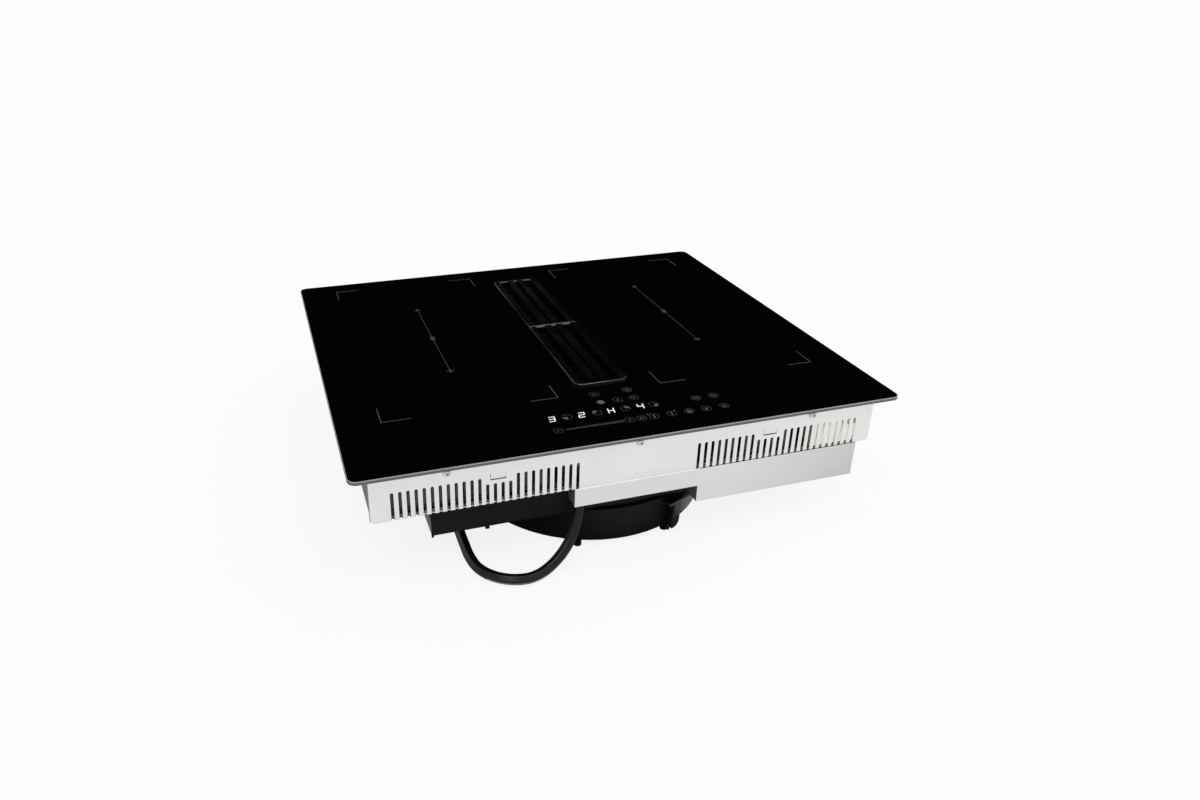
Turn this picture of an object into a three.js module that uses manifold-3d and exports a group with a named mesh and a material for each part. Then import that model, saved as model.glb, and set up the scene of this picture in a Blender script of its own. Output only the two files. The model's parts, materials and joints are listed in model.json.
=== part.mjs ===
// Downdraft induction cooktop: a glass hob plate over a sheet-metal casing, with an air intake in its
// middle and a flat fan housing slung underneath. Millimetres, +Z up, +X right, +Y to the back.
// The origin is on the bench under the centre of the glass: the cooktop stands on the fan drum's feet.
import * as THREE from 'three';
import { mergeVertices } from 'three/addons/utils/BufferGeometryUtils.js';
import Module from 'manifold-3d';

const wasm = await Module();
wasm.setup();

// ---------------------------------------------------------------------------------------------------
// Driving dimensions
// ---------------------------------------------------------------------------------------------------
const GAP = 0.3; // left between pieces that touch

// Glass plate
const GLASS_WIDTH = 590;
const GLASS_DEPTH = 520;
const GLASS_THICKNESS = 4;
const GLASS_CORNER = 9;

// Foam seal stuck under the glass's edge
const SEAL_INSET = 5;
const SEAL_WIDTH = 8;
const SEAL_THICKNESS = 2;

// How far below the glass top each floor of the cooktop lies
const CASE_DROP = 60;
const BOX_DROP = 101;
const DRUM_RIM_DROP = 106;
const DRUM_FLOOR_DROP = 148;
const FOOT_LENGTH = 7;

// Sheet-metal casing
const CASE_WIDTH = 552;
const CASE_DEPTH = 486;
const SHEET = 1;
const LAP_FLANGE = 5;
const PAN_INLET_SLOTS = 9; // in the bottom pan, under each cooling fan

// Front vent slots
const SLOT_COUNT = 25; // on each side
const FIRST_SLOT_X = 66.9;
const SLOT_PITCH = 7.8;
const SLOT_WIDTH = 3.5;
const SLOT_TOP_DROP = 28.5;
const SHORT_SLOT_TOP_DROP = 36.2;
const SHORT_SLOT_FIRST = 9;
const SHORT_SLOT_LAST = 12;
const SLOT_WRAP = 3; // how far a slot runs round the bottom bend
const TAB_X = 149.6;
const TAB_WIDTH = 16;
const TAB_DROP = 28.5;
const TAB_HEIGHT = 7.5;
const TAB_REACH = 3;

// Casing screws
const SCREW_SPACING = 200;
const SCREW_DROP = 16.5;
const SCREW_RADIUS = 1.8;
const SCREW_HEAD_RADIUS = 3.5;
const SCREW_HEAD_THICKNESS = 1.8;
const SCREW_LENGTH = 7;

// Intake grille in the glass, in two lift-out halves
const GRILLE_WIDTH = 62;
const GRILLE_LENGTH = 343;
const GRILLE_CENTRE_Y = 34.5;
const GRILLE_CORNER = 9;
const GRILLE_FLANGE = 1.5;
const GRILLE_DEPTH = 9; // below the glass top
const GRILLE_OVERLAP = 2.5; // flange on the glass
const GRILLE_RIM = 8.5;
const GRILLE_END_RIM = 5;
const GRILLE_MIDDLE_RIM = 2.5;
const OUTER_SLOT = 11;
const GRILLE_BAR = 9;

// Grease filters under the grille
const FILTER_WIDTH = 50;
const FILTER_END_GAP = 4;
const FILTER_HEIGHT = 14;
const FILTER_WALL = 1.5;
const FILTER_LEDGE = 1;
const FILTER_LEDGE_WIDTH = 2.8;
const FILTER_MESH = 2;
const MESH_COLUMNS = 3;
const MESH_ROWS = 8;
const MESH_STRAND = 2.2;

// Intake well between the glass and the plenum
const WELL_WIDTH = 72;
const WELL_LENGTH = 350;
const WELL_WALL = 2;
const WELL_FLANGE = 4;
const WELL_OPENING_REAR = 64; // behind this the well has a basin floor
const GASKET_THICKNESS = 3;
const GASKET_WIDTH = 6;

// Middle lip, electronics box and plenum under the casing
const LIP_WIDTH = 140;
const LIP_HEIGHT = 20;
const LIP_DEPTH = 19;
const ELECTRONICS_LEFT = 69;
const ELECTRONICS_RIGHT = 261;
const ELECTRONICS_REAR = 74;
const PLENUM_LEFT = -214;
const PLENUM_RIGHT = 66;
const PLENUM_FRONT_CLEARANCE = 2; // behind the lip
const PLENUM_REAR = 74;
const MOULDING_WALL = 2.5;

// Fan drum
const DRUM_CENTRE_Y = -84;
const DRUM_RADIUS = 139;
const DRUM_RIM = 1.5;
const DRUM_RIM_HEIGHT = 3;
const FOOT_COUNT = 8;
const FOOT_RADIUS = 4.5;
const FEET_CIRCLE_RADIUS = 134.5;
const INLET_RADIUS = 60;
const CLIP_ANGLE = -66; // degrees, seen from above
const CLIP_LEG_WIDTH = 14;
const CLIP_LEG_DEPTH = 11;
const CLIP_PLATE_WIDTH = 26;
const CLIP_PLATE_DEPTH = 14;
const CLIP_PLATE_THICKNESS = 3.5;

// Outlet duct, for a flat duct of 222 x 89
const DUCT_WIDTH = 222;
const DUCT_HEIGHT = 89;
const DUCT_REAR_CLEARANCE = 3; // in from the casing's rear
const DUCT_STEP_FRONT = 78;
const DUCT_STEP_REAR = 112;
const DUCT_STOP_Y = 210;
const DUCT_STOP = 5;

// Fan wheel and motor
const WHEEL_RADIUS = 110;
const WHEEL_EYE_RADIUS = 64;
const WHEEL_PLATE = 2;
const WHEEL_CLEARANCE = 3;
const BLADE_COUNT = 18;
const BLADE_THICKNESS = 1.8;
const BLADE_SWEEP = 34; // degrees
const MOTOR_RADIUS = 42;
const MOTOR_HEIGHT = 20;
const SHAFT_RADIUS = 4;
const SHAFT_LENGTH = 22;
const RUNNING_CLEARANCE = 1.5;

// Induction coils
const COIL_X = 154.5;
const COIL_BORE = 20;
const COIL_THICKNESS = 4.5;
const COIL_TO_GLASS = 1.5;
const CARRIER_SPACE = 9.8; // between the two carriers of a pair
const CARRIER_EDGE = 3; // how far a carrier reaches past its coil
const CARRIER_FRONT_CLEARANCE = 3; // to the coil plate's front
const CARRIER_REAR_CLEARANCE = 4.2; // to the coil plate's rear
const CARRIER_THICKNESS = 5;
const FERRITE_COUNT = 6;
const FERRITE_WIDTH = 12;
const COIL_PLATE_INNER = 50;
const COIL_PLATE_SIDE_CLEARANCE = 15.4; // to the bottom pan's edge
const COIL_PLATE_FRONT_CLEARANCE = 6; // to the heat sink
const COIL_PLATE_REAR_CLEARANCE = 14; // to the casing's rear
const COIL_PLATE_THICKNESS = 1.5;
const BOARD_WAY_CLEARANCE = 2; // beside a board in the plate's front fold

// Boards, heat sinks and cooling fans inside the casing
const BOARD_INNER = 74;
const BOARD_SIDE_CLEARANCE = 11.4; // to the bottom pan's edge
const BOARD_FRONT_CLEARANCE = 7; // to the casing's front
const BOARD_FAN_CLEARANCE = 20;
const BOARD_THICKNESS = 1.6;
const BOARD_STANDOFF = 4;
const STANDOFF_RADIUS = 4;
const SINK_EDGE = 4; // in from the board's front and outer edges
const SINK_WIDTH = 58;
const SINK_LENGTH = 74;
const SINK_HEIGHT = 26;
const SINK_FINS = 10;
const SINK_FIN_THICKNESS = 1.6;
const SINK_BASE = 4;
const FAN_X = 200;
const FAN_REAR_CLEARANCE = 23; // to the casing's rear
const FAN_SIZE = 80;
const FAN_HEIGHT = 25;
const FAN_FRAME_WALL = 3;
const FAN_HUB_RADIUS = 17;
const FAN_ARM_WIDTH = 5;
const FAN_ARM_THICKNESS = 2.5;
const FAN_BLADES = 7;
const FAN_BLADE_PITCH = 35; // degrees
const FAN_BLADE_CHORD = 17;
const FAN_BLADE_THICKNESS = 1.6;

// Touch control
const TOUCH_LEFT = -97;
const TOUCH_RIGHT = 117;
const TOUCH_FRONT_CLEARANCE = 9; // to the casing's front
const TOUCH_WELL_CLEARANCE = 11.5; // to the well's flange
const TOUCH_PLATE_CLEARANCE = 4; // to the coil plates
const TOUCH_TRAY_THICKNESS = 2;
const TOUCH_LEG = 8;
const DISPLAY_LEFT = -86;
const DISPLAY_RIGHT = 24;
const DISPLAY_INSET = 27; // back from the touch tray's front
const DISPLAY_DEPTH = 16;
const DISPLAY_HEIGHT = 3;

// Mains lead
const CORD_DIAMETER = 12;
const CORD_X = -60;
const CORD_FROM_FRONT = 10.7; // the grip's middle, behind the casing's front
const GRIP_LENGTH = 23;
const GRIP_NECK_RADIUS = 7.2;
const GRIP_RADIUS = 9;
const GRIP_TIP_RADIUS = 7.4;
const GRIP_NUT_THICKNESS = 4;
const COIL_CENTRE = new THREE.Vector2(-194, 150);
const COIL_START_RADIUS = 72;
const COIL_PITCH = 13;
const COIL_TURNS = 1.9;
const COIL_TUCK = 6; // how far the last quarter turn draws in
const LOOP_STEPS = 24;
const LOOP_SIDES = 6;
const CORE_RADIUS = 2;
const CORE_LENGTH = 32;
const CORE_SPREAD = 6;
const CORE_BEND = 26;
const TERMINAL_LEFT = -50;
const TERMINAL_RIGHT = -14;
const TERMINAL_DEPTH = 30;
const TERMINAL_REAR_CLEARANCE = 20; // to the touch tray's rear legs
const TERMINAL_HEIGHT = 22;

// ---------------------------------------------------------------------------------------------------
// Levels and places that follow from them
// ---------------------------------------------------------------------------------------------------
const GLASS_TOP = DRUM_FLOOR_DROP + FOOT_LENGTH;
const GLASS_UNDER = GLASS_TOP - GLASS_THICKNESS;
const CASE_TOP = GLASS_UNDER - GAP;
const CASE_UNDER = GLASS_TOP - CASE_DROP;
const CASE_FLOOR = CASE_UNDER + SHEET + GAP; // what stands in the casing starts here
const HANGING_TOP = CASE_UNDER - GAP; // what hangs under the casing ends here
const BOX_UNDER = GLASS_TOP - BOX_DROP;
const DRUM_RIM_TOP = GLASS_TOP - DRUM_RIM_DROP;
const CASE_FRONT = -CASE_DEPTH / 2;
const CASE_REAR = CASE_DEPTH / 2;
const CASE_SIDE = CASE_WIDTH / 2;
const SIDE_OUTER = CASE_SIDE - SHEET - GAP;
const PAN_SIDE = SIDE_OUTER - SHEET - GAP;
const GRILLE_FRONT = GRILLE_CENTRE_Y - GRILLE_LENGTH / 2;
const GRILLE_REAR = GRILLE_CENTRE_Y + GRILLE_LENGTH / 2;
const GRILLE_UNDER = GLASS_TOP - GRILLE_DEPTH;
const CUTOUT_WIDTH = GRILLE_WIDTH - 2 * GRILLE_OVERLAP;
const CUTOUT_LENGTH = GRILLE_LENGTH - 2 * GRILLE_OVERLAP;
const CUTOUT_CORNER = GRILLE_CORNER - GRILLE_OVERLAP;
const FILTER_TOP = GRILLE_UNDER - GAP;
const FILTER_UNDER = FILTER_TOP - FILTER_HEIGHT;
const CENTRE_SLOT = GRILLE_WIDTH - 2 * (GRILLE_RIM + OUTER_SLOT + GRILLE_BAR);
const WELL_FRONT = GRILLE_CENTRE_Y - WELL_LENGTH / 2;
const WELL_REAR = GRILLE_CENTRE_Y + WELL_LENGTH / 2;
const WELL_TOP = GLASS_UNDER - GASKET_THICKNESS - 2 * GAP;
const PLATE_TOP = BOX_UNDER - GAP;
const PLATE_UNDER = DRUM_RIM_TOP + GAP;
const DRUM_FLOOR = FOOT_LENGTH + MOULDING_WALL;
const PLENUM_FRONT = CASE_FRONT + LIP_DEPTH + PLENUM_FRONT_CLEARANCE;
const DUCT_REAR = CASE_REAR - DUCT_REAR_CLEARANCE;
const CORD_Y = CASE_FRONT + CORD_FROM_FRONT;
const BOARD_FRONT = CASE_FRONT + BOARD_FRONT_CLEARANCE;
const SINK_FRONT = BOARD_FRONT + SINK_EDGE;
const COIL_PLATE_FRONT = SINK_FRONT + SINK_LENGTH + COIL_PLATE_FRONT_CLEARANCE;
const COIL_PLATE_REAR = CASE_REAR - COIL_PLATE_REAR_CLEARANCE;
const CARRIERS_FRONT = COIL_PLATE_FRONT + CARRIER_FRONT_CLEARANCE;
const CARRIERS_REAR = COIL_PLATE_REAR - CARRIER_REAR_CLEARANCE;
const COIL_PAIR_Y = (CARRIERS_FRONT + CARRIERS_REAR) / 2;
const COIL_SPACING = (CARRIERS_REAR - CARRIERS_FRONT + CARRIER_SPACE) / 2; // between the coils of a pair
const COIL_REAR_Y = COIL_PAIR_Y + COIL_SPACING / 2;
const COIL_FRONT_Y = COIL_PAIR_Y - COIL_SPACING / 2;
const CARRIER_RADIUS = (COIL_SPACING - CARRIER_SPACE) / 2;
const TOUCH_FRONT = CASE_FRONT + TOUCH_FRONT_CLEARANCE;
const TOUCH_REAR = Math.min( // in front of the well and of the coil plates
  WELL_FRONT - WELL_FLANGE - TOUCH_WELL_CLEARANCE, COIL_PLATE_FRONT - TOUCH_PLATE_CLEARANCE,
);
const DISPLAY_FRONT = TOUCH_FRONT + DISPLAY_INSET;
const DISPLAY_REAR = DISPLAY_FRONT + DISPLAY_DEPTH;
const TERMINAL_REAR = TOUCH_REAR - TOUCH_LEG - TERMINAL_REAR_CLEARANCE;
const TERMINAL_FRONT = TERMINAL_REAR - TERMINAL_DEPTH;
const COIL_RADIUS = CARRIER_RADIUS - CARRIER_EDGE;
const COIL_TOP = GLASS_UNDER - COIL_TO_GLASS;
const COIL_UNDER = COIL_TOP - COIL_THICKNESS;
const CARRIER_TOP = COIL_UNDER - GAP;
const CARRIER_UNDER = CARRIER_TOP - CARRIER_THICKNESS;
const COIL_PLATE_TOP = CARRIER_UNDER - GAP;
const COIL_PLATE_OUTER = PAN_SIDE - COIL_PLATE_SIDE_CLEARANCE;
const BOARD_OUTER = PAN_SIDE - BOARD_SIDE_CLEARANCE;
const FAN_Y = CASE_REAR - FAN_REAR_CLEARANCE - FAN_SIZE / 2;
const BOARD_REAR = FAN_Y - FAN_SIZE / 2 - BOARD_FAN_CLEARANCE;
const BOARD_TOP = CASE_FLOOR + BOARD_STANDOFF + BOARD_THICKNESS;
const SINK_LEFT = BOARD_OUTER - SINK_EDGE - SINK_WIDTH;
const FAN_BORE_RADIUS = FAN_SIZE / 2 - FAN_FRAME_WALL;
const SCREW_Z = GLASS_TOP - SCREW_DROP;

// ---------------------------------------------------------------------------------------------------
// Shapes
// ---------------------------------------------------------------------------------------------------
const radians = THREE.MathUtils.degToRad;

// A box between two corners
function block(x0, x1, y0, y1, z0, z1) {
  return new THREE.BoxGeometry(x1 - x0, y1 - y0, z1 - z0)
    .translate((x0 + x1) / 2, (y0 + y1) / 2, (z0 + z1) / 2);
}

// A flat outline standing between two heights
function prism(shape, z0, z1, curveSegments = 6) {
  return new THREE.ExtrudeGeometry(shape, { depth: z1 - z0, bevelEnabled: false, curveSegments })
    .translate(0, 0, z0);
}

// A rectangle with rounded corners, or with square ones where the radius is 0
function roundedRectangle(x0, x1, y0, y1, radius) {
  const shape = new THREE.Shape();
  if (radius === 0) {
    return shape.moveTo(x0, y0).lineTo(x1, y0).lineTo(x1, y1).lineTo(x0, y1);
  }
  shape.moveTo(x0 + radius, y0);
  shape.absarc(x1 - radius, y0 + radius, radius, -Math.PI / 2, 0);
  shape.absarc(x1 - radius, y1 - radius, radius, 0, Math.PI / 2);
  shape.absarc(x0 + radius, y1 - radius, radius, Math.PI / 2, Math.PI);
  shape.absarc(x0 + radius, y0 + radius, radius, Math.PI, 1.5 * Math.PI);
  return shape;
}

// A rectangular ring: an outline with a square-cornered hole, one width in from its edges
function rectangularRing(x0, x1, y0, y1, width, radius = 0) {
  const outline = roundedRectangle(x0, x1, y0, y1, radius);
  outline.holes.push(roundedRectangle(x0 + width, x1 - width, y0 + width, y1 - width, 0));
  return outline;
}

// An upright cylinder about (x, y)
function post(x, y, radius, z0, z1, sides = 16) {
  return new THREE.CylinderGeometry(radius, radius, z1 - z0, sides)
    .rotateX(Math.PI / 2)
    .translate(x, y, (z0 + z1) / 2);
}

// A profile of (radius, height) pairs turned about the Z axis
function turned(profile, sides) {
  const points = profile.map(([radius, height]) => new THREE.Vector2(radius, height));
  return new THREE.LatheGeometry(points, sides).rotateX(Math.PI / 2);
}

// A ring between two radii and two heights
function ring(inner, outer, z0, z1, sides) {
  return turned([[inner, z0], [outer, z0], [outer, z1], [inner, z1], [inner, z0]], sides);
}

// A geometry as a solid that can be joined and cut
function solid(geometry) {
  const bare = geometry.index ? geometry.toNonIndexed() : geometry.clone();
  bare.deleteAttribute('normal');
  bare.deleteAttribute('uv');
  const merged = mergeVertices(bare, 1e-4);
  const corners = merged.index.array;
  const kept = [];
  for (let i = 0; i < corners.length; i += 3) {
    const [a, b, c] = corners.slice(i, i + 3);
    if (a !== b && b !== c && c !== a) kept.push(a, b, c);
  }
  return new wasm.Manifold(new wasm.Mesh({
    numProp: 3,
    vertProperties: new Float32Array(merged.attributes.position.array),
    triVerts: new Uint32Array(kept),
  }));
}

function geometryOf(manifold) {
  const mesh = manifold.getMesh();
  const geometry = new THREE.BufferGeometry();
  geometry.setAttribute('position', new THREE.BufferAttribute(mesh.vertProperties, 3));
  geometry.setIndex(new THREE.BufferAttribute(mesh.triVerts, 1));
  geometry.computeVertexNormals();
  return geometry;
}

// Pieces joined into one, with others cut away
function shaped(joined, cut = []) {
  let result = solid(joined[0]);
  for (const piece of joined.slice(1)) result = result.add(solid(piece));
  for (const piece of cut) result = result.subtract(solid(piece));
  return geometryOf(result);
}

// ---------------------------------------------------------------------------------------------------
// Finishes
// ---------------------------------------------------------------------------------------------------
function finish(color, roughness, metalness) {
  return new THREE.MeshStandardMaterial({ color, roughness, metalness });
}

const blackGlass = finish(0x0a0a0b, 0.08, 0);
const blackPaint = finish(0x161616, 0.5, 0.2);
const filterMesh = finish(0x9a9c9e, 0.4, 0.9);
const blackRubber = finish(0x1c1c1c, 0.85, 0);
const blackMoulding = finish(0x26262a, 0.55, 0);
const zincSheet = finish(0xd6d7d5, 0.45, 0.8);
const screwSteel = finish(0xc0c0be, 0.35, 0.9);
const motorSteel = finish(0x8d9093, 0.4, 0.9);
const wheelPlastic = finish(0x3a3b3e, 0.5, 0);
const copperLitz = finish(0xb06a3c, 0.5, 0.6);
const carrierPlastic = finish(0xe4e2dc, 0.6, 0);
const bareAluminium = finish(0xc9cccf, 0.35, 0.9);
const circuitBoard = finish(0x1f4a34, 0.5, 0);
const displayWindow = finish(0x1b1b1e, 0.3, 0);
const terminalPlastic = finish(0xd9d6cc, 0.5, 0);
const cordSheath = finish(0x2b2b2b, 0.6, 0);
const coreInsulation = finish(0x7a4a2a, 0.5, 0);

const cooktop = new THREE.Group();

function addPart(name, geometry, material) {
  const mesh = new THREE.Mesh(geometry, material);
  mesh.name = name;
  cooktop.add(mesh);
  return mesh;
}

// ---------------------------------------------------------------------------------------------------
// Glass plate, with the cut-out for the intake
// ---------------------------------------------------------------------------------------------------
function cutoutOutline(grow, extraRadius) {
  return roundedRectangle(
    -CUTOUT_WIDTH / 2 - grow, CUTOUT_WIDTH / 2 + grow,
    GRILLE_CENTRE_Y - CUTOUT_LENGTH / 2 - grow, GRILLE_CENTRE_Y + CUTOUT_LENGTH / 2 + grow,
    CUTOUT_CORNER + extraRadius,
  );
}

function glassPlate() {
  const plate = roundedRectangle(
    -GLASS_WIDTH / 2, GLASS_WIDTH / 2, -GLASS_DEPTH / 2, GLASS_DEPTH / 2, GLASS_CORNER,
  );
  plate.holes.push(cutoutOutline(0, 0));
  return prism(plate, GLASS_UNDER, GLASS_TOP);
}
addPart('glass_top', glassPlate(), blackGlass);

// The foam seal that lies on the worktop, hidden under the glass's edge
function worktopSeal() {
  const halfWidth = GLASS_WIDTH / 2 - SEAL_INSET;
  const halfDepth = GLASS_DEPTH / 2 - SEAL_INSET;
  const top = GLASS_UNDER - GAP;
  return prism(rectangularRing(
    -halfWidth, halfWidth, -halfDepth, halfDepth, SEAL_WIDTH, GLASS_CORNER - SEAL_INSET,
  ), top - SEAL_THICKNESS, top);
}
addPart('worktop_seal', worktopSeal(), blackRubber);

// ---------------------------------------------------------------------------------------------------
// Intake grille: each half is a casting with three long slots, whose flange lies on the glass
// ---------------------------------------------------------------------------------------------------
const SLOT_SPANS = [
  [-GRILLE_WIDTH / 2 + GRILLE_RIM, -GRILLE_WIDTH / 2 + GRILLE_RIM + OUTER_SLOT],
  [-CENTRE_SLOT / 2, CENTRE_SLOT / 2],
  [GRILLE_WIDTH / 2 - GRILLE_RIM - OUTER_SLOT, GRILLE_WIDTH / 2 - GRILLE_RIM],
];

function grilleHalf(isRear) {
  const flangeUnder = GLASS_TOP + GAP;
  const flangeTop = flangeUnder + GRILLE_FLANGE;
  const flange = prism(
    roundedRectangle(-GRILLE_WIDTH / 2, GRILLE_WIDTH / 2, GRILLE_FRONT, GRILLE_REAR, GRILLE_CORNER),
    flangeUnder, flangeTop,
  );
  const body = prism(cutoutOutline(-GAP, -GAP), GRILLE_UNDER, flangeTop);
  const start = isRear ? GRILLE_CENTRE_Y + GAP : GRILLE_FRONT - GAP;
  const end = isRear ? GRILLE_REAR + GAP : GRILLE_CENTRE_Y - GAP;
  const half = solid(block(-GRILLE_WIDTH, GRILLE_WIDTH, start, end, GRILLE_UNDER - GAP, flangeTop + GAP));
  const slotFront = isRear ? GRILLE_CENTRE_Y + GRILLE_MIDDLE_RIM : GRILLE_FRONT + GRILLE_END_RIM;
  const slotRear = isRear ? GRILLE_REAR - GRILLE_END_RIM : GRILLE_CENTRE_Y - GRILLE_MIDDLE_RIM;
  let casting = solid(flange).add(solid(body)).intersect(half);
  for (const [left, right] of SLOT_SPANS) {
    casting = casting.subtract(
      solid(block(left, right, slotFront, slotRear, GRILLE_UNDER - GAP, flangeTop + GAP)),
    );
  }
  return geometryOf(casting);
}
addPart('grille_front', grilleHalf(false), blackPaint);
addPart('grille_rear', grilleHalf(true), blackPaint);

// Grease filter: a frame that hangs from its grille half, and a stretched-metal panel on its ledge
function filterSpan(isRear) {
  const inset = GRILLE_OVERLAP + GAP + FILTER_END_GAP;
  return isRear
    ? [GRILLE_CENTRE_Y + FILTER_END_GAP, GRILLE_REAR - inset]
    : [GRILLE_FRONT + inset, GRILLE_CENTRE_Y - FILTER_END_GAP];
}

function filterFrame(isRear) {
  const [front, rear] = filterSpan(isRear);
  const half = FILTER_WIDTH / 2;
  const walls = rectangularRing(-half, half, front, rear, FILTER_WALL);
  const ledge = rectangularRing(-half, half, front, rear, FILTER_LEDGE_WIDTH);
  return shaped([
    prism(walls, FILTER_UNDER, FILTER_TOP),
    prism(ledge, FILTER_UNDER, FILTER_UNDER + FILTER_LEDGE),
  ]);
}
addPart('grease_filter_front', filterFrame(false), bareAluminium);
addPart('grease_filter_rear', filterFrame(true), bareAluminium);

function filterPanel(isRear) {
  const [frameFront, frameRear] = filterSpan(isRear);
  const front = frameFront + FILTER_WALL + GAP;
  const rear = frameRear - FILTER_WALL - GAP;
  const half = FILTER_WIDTH / 2 - FILTER_WALL - GAP;
  const under = FILTER_UNDER + FILTER_LEDGE + GAP;
  const columnPitch = 2 * half / MESH_COLUMNS;
  const rowPitch = (rear - front) / MESH_ROWS;
  const holes = [];
  for (let column = 0; column < MESH_COLUMNS; column += 1) {
    for (let row = 0; row < MESH_ROWS; row += 1) {
      const x = -half + column * columnPitch;
      const y = front + row * rowPitch;
      holes.push(block(
        x + MESH_STRAND / 2, x + columnPitch - MESH_STRAND / 2,
        y + MESH_STRAND / 2, y + rowPitch - MESH_STRAND / 2,
        under - GAP, under + FILTER_MESH + GAP,
      ));
    }
  }
  return shaped([block(-half, half, front, rear, under, under + FILTER_MESH)], holes);
}
addPart('filter_mesh_front', filterPanel(false), filterMesh);
addPart('filter_mesh_rear', filterPanel(true), filterMesh);

// ---------------------------------------------------------------------------------------------------
// Intake well and its gasket
// ---------------------------------------------------------------------------------------------------
function wellGasket() {
  const over = GASKET_WIDTH / 2; // its middle line follows the well's mouth
  return prism(rectangularRing(
    -WELL_WIDTH / 2 - over, WELL_WIDTH / 2 + over, WELL_FRONT - over, WELL_REAR + over, GASKET_WIDTH,
  ), WELL_TOP + GAP, GLASS_UNDER - GAP);
}
addPart('well_gasket', wellGasket(), blackRubber);

function intakeWell() {
  const half = WELL_WIDTH / 2;
  const outerHalf = half + WELL_WALL;
  const flangeHalf = outerHalf + WELL_FLANGE;
  const walls = block(
    -outerHalf, outerHalf, WELL_FRONT - WELL_WALL, WELL_REAR + WELL_WALL, CASE_FLOOR, WELL_TOP,
  );
  const flange = block(
    -flangeHalf, flangeHalf, WELL_FRONT - WELL_WALL - WELL_FLANGE, WELL_REAR + WELL_WALL + WELL_FLANGE,
    WELL_TOP - WELL_WALL, WELL_TOP,
  );
  const space = block(-half, half, WELL_FRONT, WELL_REAR, CASE_FLOOR + WELL_WALL, WELL_TOP + GAP);
  const throat = block(-half, half, WELL_FRONT, WELL_OPENING_REAR, CASE_FLOOR - GAP, WELL_TOP);
  return shaped([walls, flange], [space, throat]);
}
addPart('intake_well', intakeWell(), blackMoulding);

// ---------------------------------------------------------------------------------------------------
// Casing: slotted front panel that laps round the sides, rear panel, side panels and bottom pan
// ---------------------------------------------------------------------------------------------------
const screwPlaces = [-SCREW_SPACING, 0, SCREW_SPACING];

// A folded panel across the front of the casing; the rear one is the same turned round
function foldedPanel() {
  const flangeEnd = CASE_FRONT + SHEET + LAP_FLANGE;
  const face = block(-CASE_SIDE, CASE_SIDE, CASE_FRONT, CASE_FRONT + SHEET, CASE_UNDER, CASE_TOP);
  const leftLap = block(-CASE_SIDE, -CASE_SIDE + SHEET, CASE_FRONT, flangeEnd, CASE_UNDER, CASE_TOP);
  const rightLap = block(CASE_SIDE - SHEET, CASE_SIDE, CASE_FRONT, flangeEnd, CASE_UNDER, CASE_TOP);
  const foot = block(-CASE_SIDE, CASE_SIDE, CASE_FRONT, flangeEnd, CASE_UNDER, CASE_UNDER + SHEET);
  return [face, leftLap, rightLap, foot];
}

function screwHole(x, y) {
  return new THREE.CylinderGeometry(SCREW_RADIUS + GAP, SCREW_RADIUS + GAP, 4 * SHEET, 10)
    .translate(x, y, SCREW_Z);
}

// The cord grip's hole, half in the front panel's foot and half in the pan behind it
function gripHole() {
  return post(CORD_X, CORD_Y, GRIP_NECK_RADIUS + GAP, CASE_UNDER - SHEET, CASE_FLOOR + SHEET);
}

// One vent slot: a round-topped cut that runs down the face and round the bottom bend
function ventSlot(x, top) {
  const arcCentre = top - SLOT_WIDTH / 2;
  const outline = new THREE.Shape();
  outline.moveTo(x - SLOT_WIDTH / 2, CASE_UNDER - SHEET);
  outline.lineTo(x + SLOT_WIDTH / 2, CASE_UNDER - SHEET);
  outline.absarc(x, arcCentre, SLOT_WIDTH / 2, 0, Math.PI);
  return new THREE.ExtrudeGeometry(
    outline, { depth: SLOT_WRAP + SHEET, bevelEnabled: false, curveSegments: 3 },
  )
    .rotateX(Math.PI / 2)
    .translate(0, CASE_FRONT + SLOT_WRAP, 0);
}

// A lanced tab: a half-louvre pressed inwards, open at its lower edge
function tab(side) {
  const x = side * TAB_X;
  const top = GLASS_TOP - TAB_DROP + TAB_HEIGHT / 2;
  const profile = new THREE.Shape();
  profile.moveTo(0, 0).lineTo(0, -SHEET).lineTo(TAB_REACH, -TAB_HEIGHT + SHEET);
  profile.lineTo(TAB_REACH + SHEET, -TAB_HEIGHT + SHEET).lineTo(SHEET, 0);
  return new THREE.ExtrudeGeometry(profile, { depth: TAB_WIDTH, bevelEnabled: false })
    .applyMatrix4(new THREE.Matrix4().makeBasis(
      new THREE.Vector3(0, 1, 0), new THREE.Vector3(0, 0, 1), new THREE.Vector3(1, 0, 0),
    ))
    .translate(x - TAB_WIDTH / 2, CASE_FRONT, top);
}

function tabWindow(side) {
  const x = side * TAB_X;
  const top = GLASS_TOP - TAB_DROP + TAB_HEIGHT / 2;
  return block(
    x - TAB_WIDTH / 2, x + TAB_WIDTH / 2, CASE_FRONT - SHEET, CASE_FRONT + 2 * SHEET,
    top - TAB_HEIGHT, top - SHEET / 2,
  );
}

function frontPanel() {
  const cuts = screwPlaces.map((x) => screwHole(x, CASE_FRONT));
  cuts.push(gripHole());
  for (const side of [-1, 1]) {
    cuts.push(tabWindow(side));
    for (let i = 0; i < SLOT_COUNT; i += 1) {
      const isShort = i >= SHORT_SLOT_FIRST && i <= SHORT_SLOT_LAST;
      const top = GLASS_TOP - (isShort ? SHORT_SLOT_TOP_DROP : SLOT_TOP_DROP);
      cuts.push(ventSlot(side * (FIRST_SLOT_X + i * SLOT_PITCH), top));
    }
  }
  const panel = solid(shaped(foldedPanel(), cuts));
  return geometryOf(panel.add(solid(tab(-1))).add(solid(tab(1))));
}
addPart('front_panel', frontPanel(), zincSheet);

const rearPanel = addPart(
  'rear_panel', shaped(foldedPanel(), screwPlaces.map((x) => screwHole(x, CASE_FRONT))), zincSheet,
);
rearPanel.rotation.z = Math.PI;

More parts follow.
